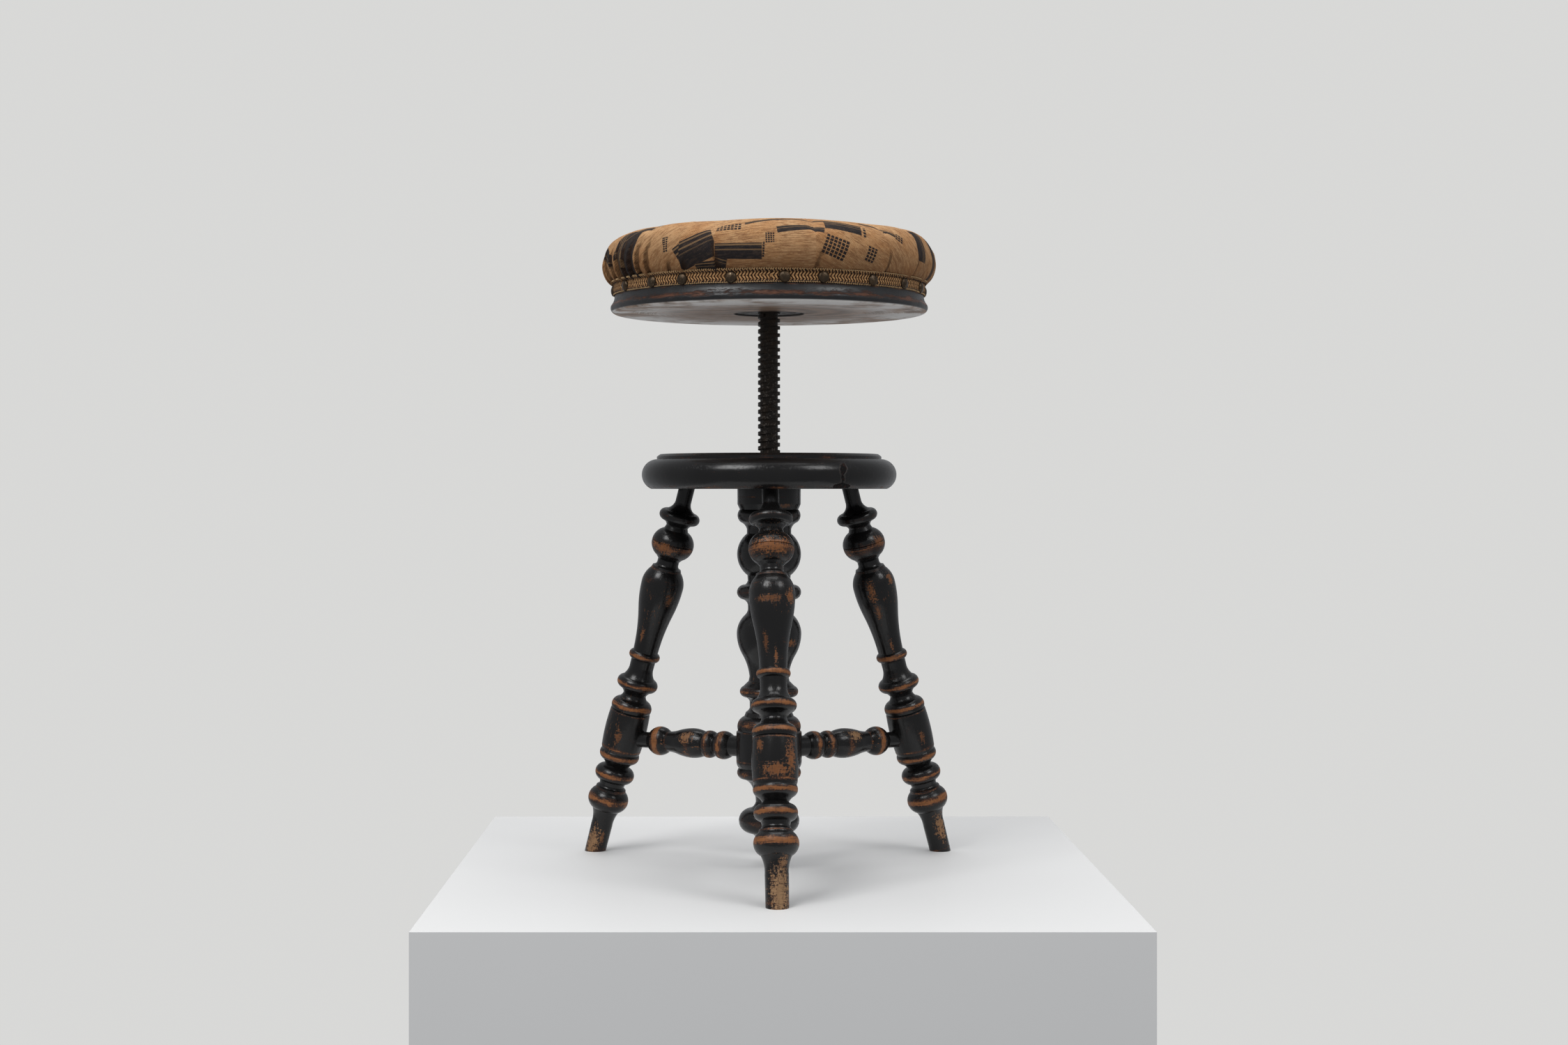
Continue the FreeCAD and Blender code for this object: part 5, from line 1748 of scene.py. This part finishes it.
@dataclass
class Stand:
    """Top, column, legs and stretchers, which keep their own solids and get their finish here."""

    leg_circle: float = 0.1018
    top_under: float = 0.3995
    splay: float = 16.5
    stretcher_height: float = 0.12595
    places: dict[str, tuple[float, float]] = field(default_factory=lambda: {
        "right": (30.0, 0.0), "left": (150.0, 0.0), "front": (270.0, 2.4)})

    def leg_finish(self, side: str) -> EbonisedWood:
        """The finish of one leg.

        Args:
            side: right, left or front.

        Returns:
            Its finish.
        """
        azimuth, twist = self.places[side]
        a = math.radians(azimuth)
        front = side == "front"
        return EbonisedWood(
            name=f"leg_{side}_wood",
            origin=(self.leg_circle * math.cos(a), self.leg_circle * math.sin(a), self.top_under),
            turn=(0.0, math.radians(-self.splay), math.radians(azimuth + twist)),
            crests=metres(LEG_CRESTS), seed=1.7 + azimuth / 90.0,
            wear=1.0 if front else 0.90, scuffs=0.7 if front else 0.5, spots=LEG_SPOTS[side],
        )

    def stretcher_finish(self, side: str) -> EbonisedWood:
        """The finish of one stretcher.

        Args:
            side: right, left or front.

        Returns:
            Its finish.
        """
        azimuth, _twist = self.places[side]
        return EbonisedWood(
            name=f"stretcher_{side}_wood", origin=(0.0, 0.0, self.stretcher_height),
            turn=(0.0, math.radians(-90.0), math.radians(azimuth)),
            crests=metres(STRETCHER_CRESTS), seed=5.1 + azimuth / 70.0, spots=STRETCHER_SPOTS[side],
        )

    def dress(self) -> None:
        """Gives the stand's solids their materials."""
        for side in self.places:
            paint(f"leg_{side}", self.leg_finish(side).material())
            paint(f"stretcher_{side}", self.stretcher_finish(side).material())
        upright = (0.0, 0.0, 0.0)
        column = EbonisedWood("column_wood", upright, upright, metres(COLUMN_CRESTS), 9.3, wear=0.9,
                              scuffs=0.4, spots=COLUMN_SPOTS)
        paint("column", column.material())
        top = TopWood("top_wood", upright, upright, metres(TOP_CRESTS), 12.4, scuffs=0.12)
        paint("top_disc", top.material())


def paint(node: str, material: bpy.types.Material) -> None:
    """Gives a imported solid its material.

    Args:
        node: The solid's name.
        material: Its material.
    """
    solid = frame["nodes"][node]
    for place in solid.material_slots:
        place.material = material
    log.info("%s wears %s", node, material.name)


class Ironwork:
    """The screw, its nut, washer and plate, and the small screws."""

    def dress(self) -> None:
        """Gives the metal solids their materials."""
        screw = OldMetal("screw_iron", (0.022, 0.018, 0.015), (0.040, 0.028, 0.020), (0.22, 0.19, 0.165), 0.4,
                         rubbed=0.55, bright_below=0.585)
        paint("screw_spindle", screw.material())
        plate = OldMetal("plate_iron", (0.020, 0.018, 0.016), (0.045, 0.030, 0.022), (0.16, 0.14, 0.12), 0.9,
                         rubbed=0.35)
        iron = plate.material()
        for node in ("seat_flange", "screw_nut", "stop_washer"):
            paint(node, iron)
        small = OldMetal("small_screw_steel", (0.050, 0.046, 0.042), (0.060, 0.042, 0.030),
                         (0.30, 0.28, 0.25), 1.3)
        steel = small.material()
        for node in ("nut_screws", "flange_screws", "end_screw", "cover_tacks"):
            paint(node, steel)


# Seat


BARS = rows(Mark, (
    (-33.0, -195.0, 46.0, 16.0, -3.0, 10.0), (-85.0, -174.0, 47.0, 29.0, -3.0, 17.0),
    (-70.0, -200.0, 50.0, 13.0, -20.0, 12.0), (72.0, -152.0, 40.0, 12.0, 17.0, 12.0),
    (22.0, -156.0, 98.0, 3.6, 10.0, 4.0), (30.0, -171.0, 50.0, 7.5, 9.0, 9.0),
    (108.0, -126.0, 44.0, 4.0, 20.0, 4.0), (160.0, -82.0, 36.0, 20.0, -30.0, 17.0),
    (190.0, -46.0, 60.0, 24.0, -14.0, 17.0), (-142.0, -94.0, 80.0, 8.0, -27.0, 7.0),
    (-166.0, -101.0, 62.0, 44.0, 31.0, 26.0), (-182.0, -40.0, 54.0, 14.0, 84.0, 9.0),
    (34.0, -72.0, 74.0, 16.0, 0.0, 10.0), (-44.0, 2.0, 92.0, 22.0, 0.0, 15.0),
    (98.0, 20.0, 62.0, 10.0, 0.0, 9.0), (-20.0, 86.0, 110.0, 15.0, 0.0, 10.0),
    (146.0, 80.0, 70.0, 14.0, -58.0, 10.0), (-132.0, 120.0, 80.0, 14.0, 44.0, 12.0),
    (24.0, 186.0, 84.0, 17.0, 0.0, 14.0), (-182.0, 62.0, 60.0, 14.0, -76.0, 9.0),
    (-60.0, 200.0, 44.0, 12.0, 14.0, 12.0),
))

DASHES = rows(Mark, (
    (-8.5, -194.5, 1.9, 15.0, -5.0, 3.0), (-42.5, -167.0, 25.0, 8.6, -5.0, 3.7),
    (-2.0, -183.0, 8.6, 10.4, 0.0, 2.4), (72.5, -178.0, 25.0, 21.0, 8.0, 4.3),
    (110.5, -164.0, 11.0, 15.0, 12.0, 4.0), (-113.0, -148.0, 8.0, 16.0, -28.0, 2.9),
    (175.0, -102.0, 8.0, 26.0, 61.0, 4.4), (95.0, -146.0, 3.0, 12.0, 17.0, 4.4),
    (134.0, -116.0, 11.0, 8.0, 20.0, 3.7), (-100.0, -62.0, 22.0, 19.0, 0.0, 4.3),
    (76.0, -72.0, 1.9, 15.0, 0.0, 3.0), (116.0, -52.0, 11.0, 15.0, 0.0, 4.0),
    (30.0, -4.0, 26.0, 12.0, 0.0, 3.7), (-124.0, 44.0, 22.0, 19.0, 0.0, 4.3),
    (84.0, 92.0, 22.0, 19.0, 0.0, 4.3), (-62.0, 142.0, 11.0, 15.0, 0.0, 4.0),
    (96.0, 160.0, 25.0, 12.0, -24.0, 3.7),
))

PLEATS = rows(Pleat, (
    (-18.8, 1.1, 656.0, -0.05, 6.0), (14.4, 0.6, 652.0, 0.1, 8.0), (42.6, 0.8, 648.0, 0.0, 6.0),
    (59.0, 1.1, 648.0, 0.0, 6.0), (73.0, 1.5, 650.0, 0.0, 5.0), (84.0, 1.5, 648.0), (98.0, 1.4, 650.0),
    (118.0, 1.6, 656.0), (143.0, 1.5, 652.0), (167.0, 1.8, 658.0), (-166.0, 1.4, 652.0),
    (-140.0, 1.7, 656.0), (-118.0, 1.5, 650.0), (-101.0, 1.7, 654.0), (-90.0, 1.8, 656.0, 0.0, 5.0),
    (-80.0, 1.9, 658.0, 0.02, 5.0), (-72.0, 2.0, 661.0, 0.03, 4.0), (-66.5, 2.2, 662.0, 0.05, 3.4),
    (-61.5, 2.2, 662.0, 0.06, 3.2), (-57.0, 2.2, 662.0, 0.07, 3.0), (-52.5, 2.1, 661.0, 0.08, 3.2),
    (-47.6, 1.9, 659.0, 0.08, 4.0), (-38.0, 0.8, 634.0, 0.12, 6.0), (-31.5, 0.9, 636.0, 0.1, 6.0),
))

NAIL_ANGLES = [
    -90.0, -64.7, -46.7, -32.6, -14.0, 4.6, 18.4, 38.5, 56.0, 71.8, 91.6, 111.4, 131.3, 151.1, 170.9,
    -169.3, -149.5, -129.6, -109.8,
]


@dataclass
class Seat:
    """The seat board with its cushion, braid and nails."""

    body: str = "seat"

    def build(self) -> None:
        """Makes the upholstery and gives the board its finish."""
        paint("seat_board", BoardWood().material())
        cushion = Cushion(CoverCloth(BARS, DASHES), PLEATS).build()
        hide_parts("seat_cover", "stuffing_pad", "lining")
        self.fit(cushion)
        bronze = OldMetal("nail_head_bronze", (0.060, 0.042, 0.028), (0.085, 0.055, 0.032),
                          (0.26, 0.20, 0.13), 2.2, metallic=0.9, rough=0.26, rubbed=0.35)
        trim = Trim(BraidCloth(), EdgeThread("pale_edge_thread", (0.46, 0.30, 0.150)),
                    EdgeThread("dark_edge_thread", (0.030, 0.014, 0.008)), bronze, NAIL_ANGLES)
        braid = trim.build_braid()
        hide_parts("braid")
        self.fit(braid)
        nails = trim.build_nails()
        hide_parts("cover_nails")
        self.fit(nails)
        seams = (
            ("top_edge_loops", trim.top - 0.3, 55.0, 0.0, trim.pale_thread),
            ("top_inner_stitches", trim.top - 2.1, -30.0, 0.5, trim.dark_thread),
            ("foot_edge_stitches", trim.foot + 0.7, -32.0, 0.0, trim.pale_thread),
            ("foot_inner_stitches", trim.foot + 1.9, 38.0, 0.5, trim.dark_thread),
        )
        for name, height, lean, shift, thread in seams:
            self.fit(trim.build_stitches(name, height, lean, shift, thread))

    def fit(self, piece: bpy.types.Object) -> None:
        """Lets a piece ride on the seat.

        Args:
            piece: The piece.
        """
        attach(piece, self.body)
        log.info("%s: %d faces", piece.name, len(piece.data.polygons))


# Studio


@dataclass
class Studio:
    """Floor slab, backdrop colour, soft lamps and the camera."""

    left_edge: float = -0.329
    right_edge: float = 0.345
    back_edge: float = 0.358
    front_edge: float = -0.336
    height: float = 0.60
    lens: float = 50.08
    sensor: float = 36.0
    eye: tuple[float, float, float] = (-0.0307, -2.301, 0.3995)
    shift: tuple[float, float] = (0.0281, -0.0214)
    backdrop: Colour = (0.69, 0.69, 0.68)
    sky: Colour = (0.95, 0.97, 1.0)
    sky_strength: float = 0.37

    def floor(self) -> None:
        """Makes the white block that the stool stands on."""
        corners = ((self.left_edge, self.front_edge), (self.right_edge, self.front_edge),
                   (self.right_edge, self.back_edge), (self.left_edge, self.back_edge))
        points = [(x, y, z) for z in (-self.height, 0.0) for x, y in corners]
        faces = [(4, 5, 6, 7), (3, 2, 1, 0), (0, 1, 5, 4), (1, 2, 6, 5), (2, 3, 7, 6), (3, 0, 4, 7)]
        slab = mesh_piece("floor_slab", points, faces, PaleFloor().material(), smooth=False)

    def world(self) -> None:
        """Lights the scene softly from all round and paints the backdrop for the camera."""
        world = bpy.data.worlds.new("studio")
        bpy.context.scene.world = world
        world.use_nodes = True
        world.node_tree.nodes.clear()
        b = Bench(world.node_tree)
        seen = b.fill(b.node("ShaderNodeBackground"), Color=self.backdrop)
        light = b.fill(b.node("ShaderNodeBackground"), Color=self.sky, Strength=self.sky_strength)
        either = b.node("ShaderNodeMixShader")
        path = b.node("ShaderNodeLightPath")
        b.feed(path.outputs["Is Camera Ray"], either.inputs["Fac"])
        b.feed(light.outputs[0], either.inputs[1])
        b.feed(seen.outputs[0], either.inputs[2])
        out = b.node("ShaderNodeOutputWorld")
        b.feed(either.outputs[0], out.inputs["Surface"])

    def lamp(self, name: str, place: Sequence[float], aim: Sequence[float], side: float,
             watts: float) -> None:
        """Hangs one soft square lamp.

        Args:
            name: The lamp's name.
            place: Where it hangs.
            aim: What it points at.
            side: Its width and height, in metres.
            watts: Its power.
        """
        light = bpy.data.lights.new(name, "AREA")
        light.shape = "RECTANGLE"
        light.size = light.size_y = side
        light.energy = watts
        made = bpy.data.objects.new(name, light)
        made.location = place
        made.rotation_euler = (Vector(aim) - Vector(place)).to_track_quat("-Z", "Y").to_euler()
        bpy.context.scene.collection.objects.link(made)

    def lamps(self) -> None:
        """Hangs the lamps."""
        self.lamp("key", (-1.2, -1.5, 2.4), (0.0, 0.0, 0.45), 1.2, 36.0)
        self.lamp("fill", (1.6, -1.3, 2.2), (0.0, 0.0, 0.40), 1.0, 17.0)
        self.lamp("over", (0.0, 0.2, 2.6), (0.0, 0.0, 0.4), 1.8, 32.0)

    def camera(self) -> None:
        """Sets the camera at the photograph's place."""
        data = bpy.data.cameras.new("camera")
        data.lens, data.sensor_width = self.lens, self.sensor
        data.shift_x, data.shift_y = self.shift
        data.clip_start, data.clip_end = 0.05, 50.0
        made = bpy.data.objects.new("camera", data)
        made.location = self.eye
        made.rotation_euler = Euler((math.radians(90.0), 0.0, 0.0))
        bpy.context.scene.collection.objects.link(made)
        bpy.context.scene.camera = made

    def build(self) -> None:
        """Makes the whole studio."""
        self.floor()
        self.world()
        self.lamps()
        self.camera()
        bpy.context.scene.view_settings.view_transform = "Standard"


def main() -> None:
    """Builds the stool's looks in order and reports each piece."""
    logging.basicConfig(level=logging.INFO, format="%(name)s: %(message)s")
    Effects().make()
    Stand().dress()
    Ironwork().dress()
    Seat().build()
    Studio().build()


if __name__ == "__main__":
    main()
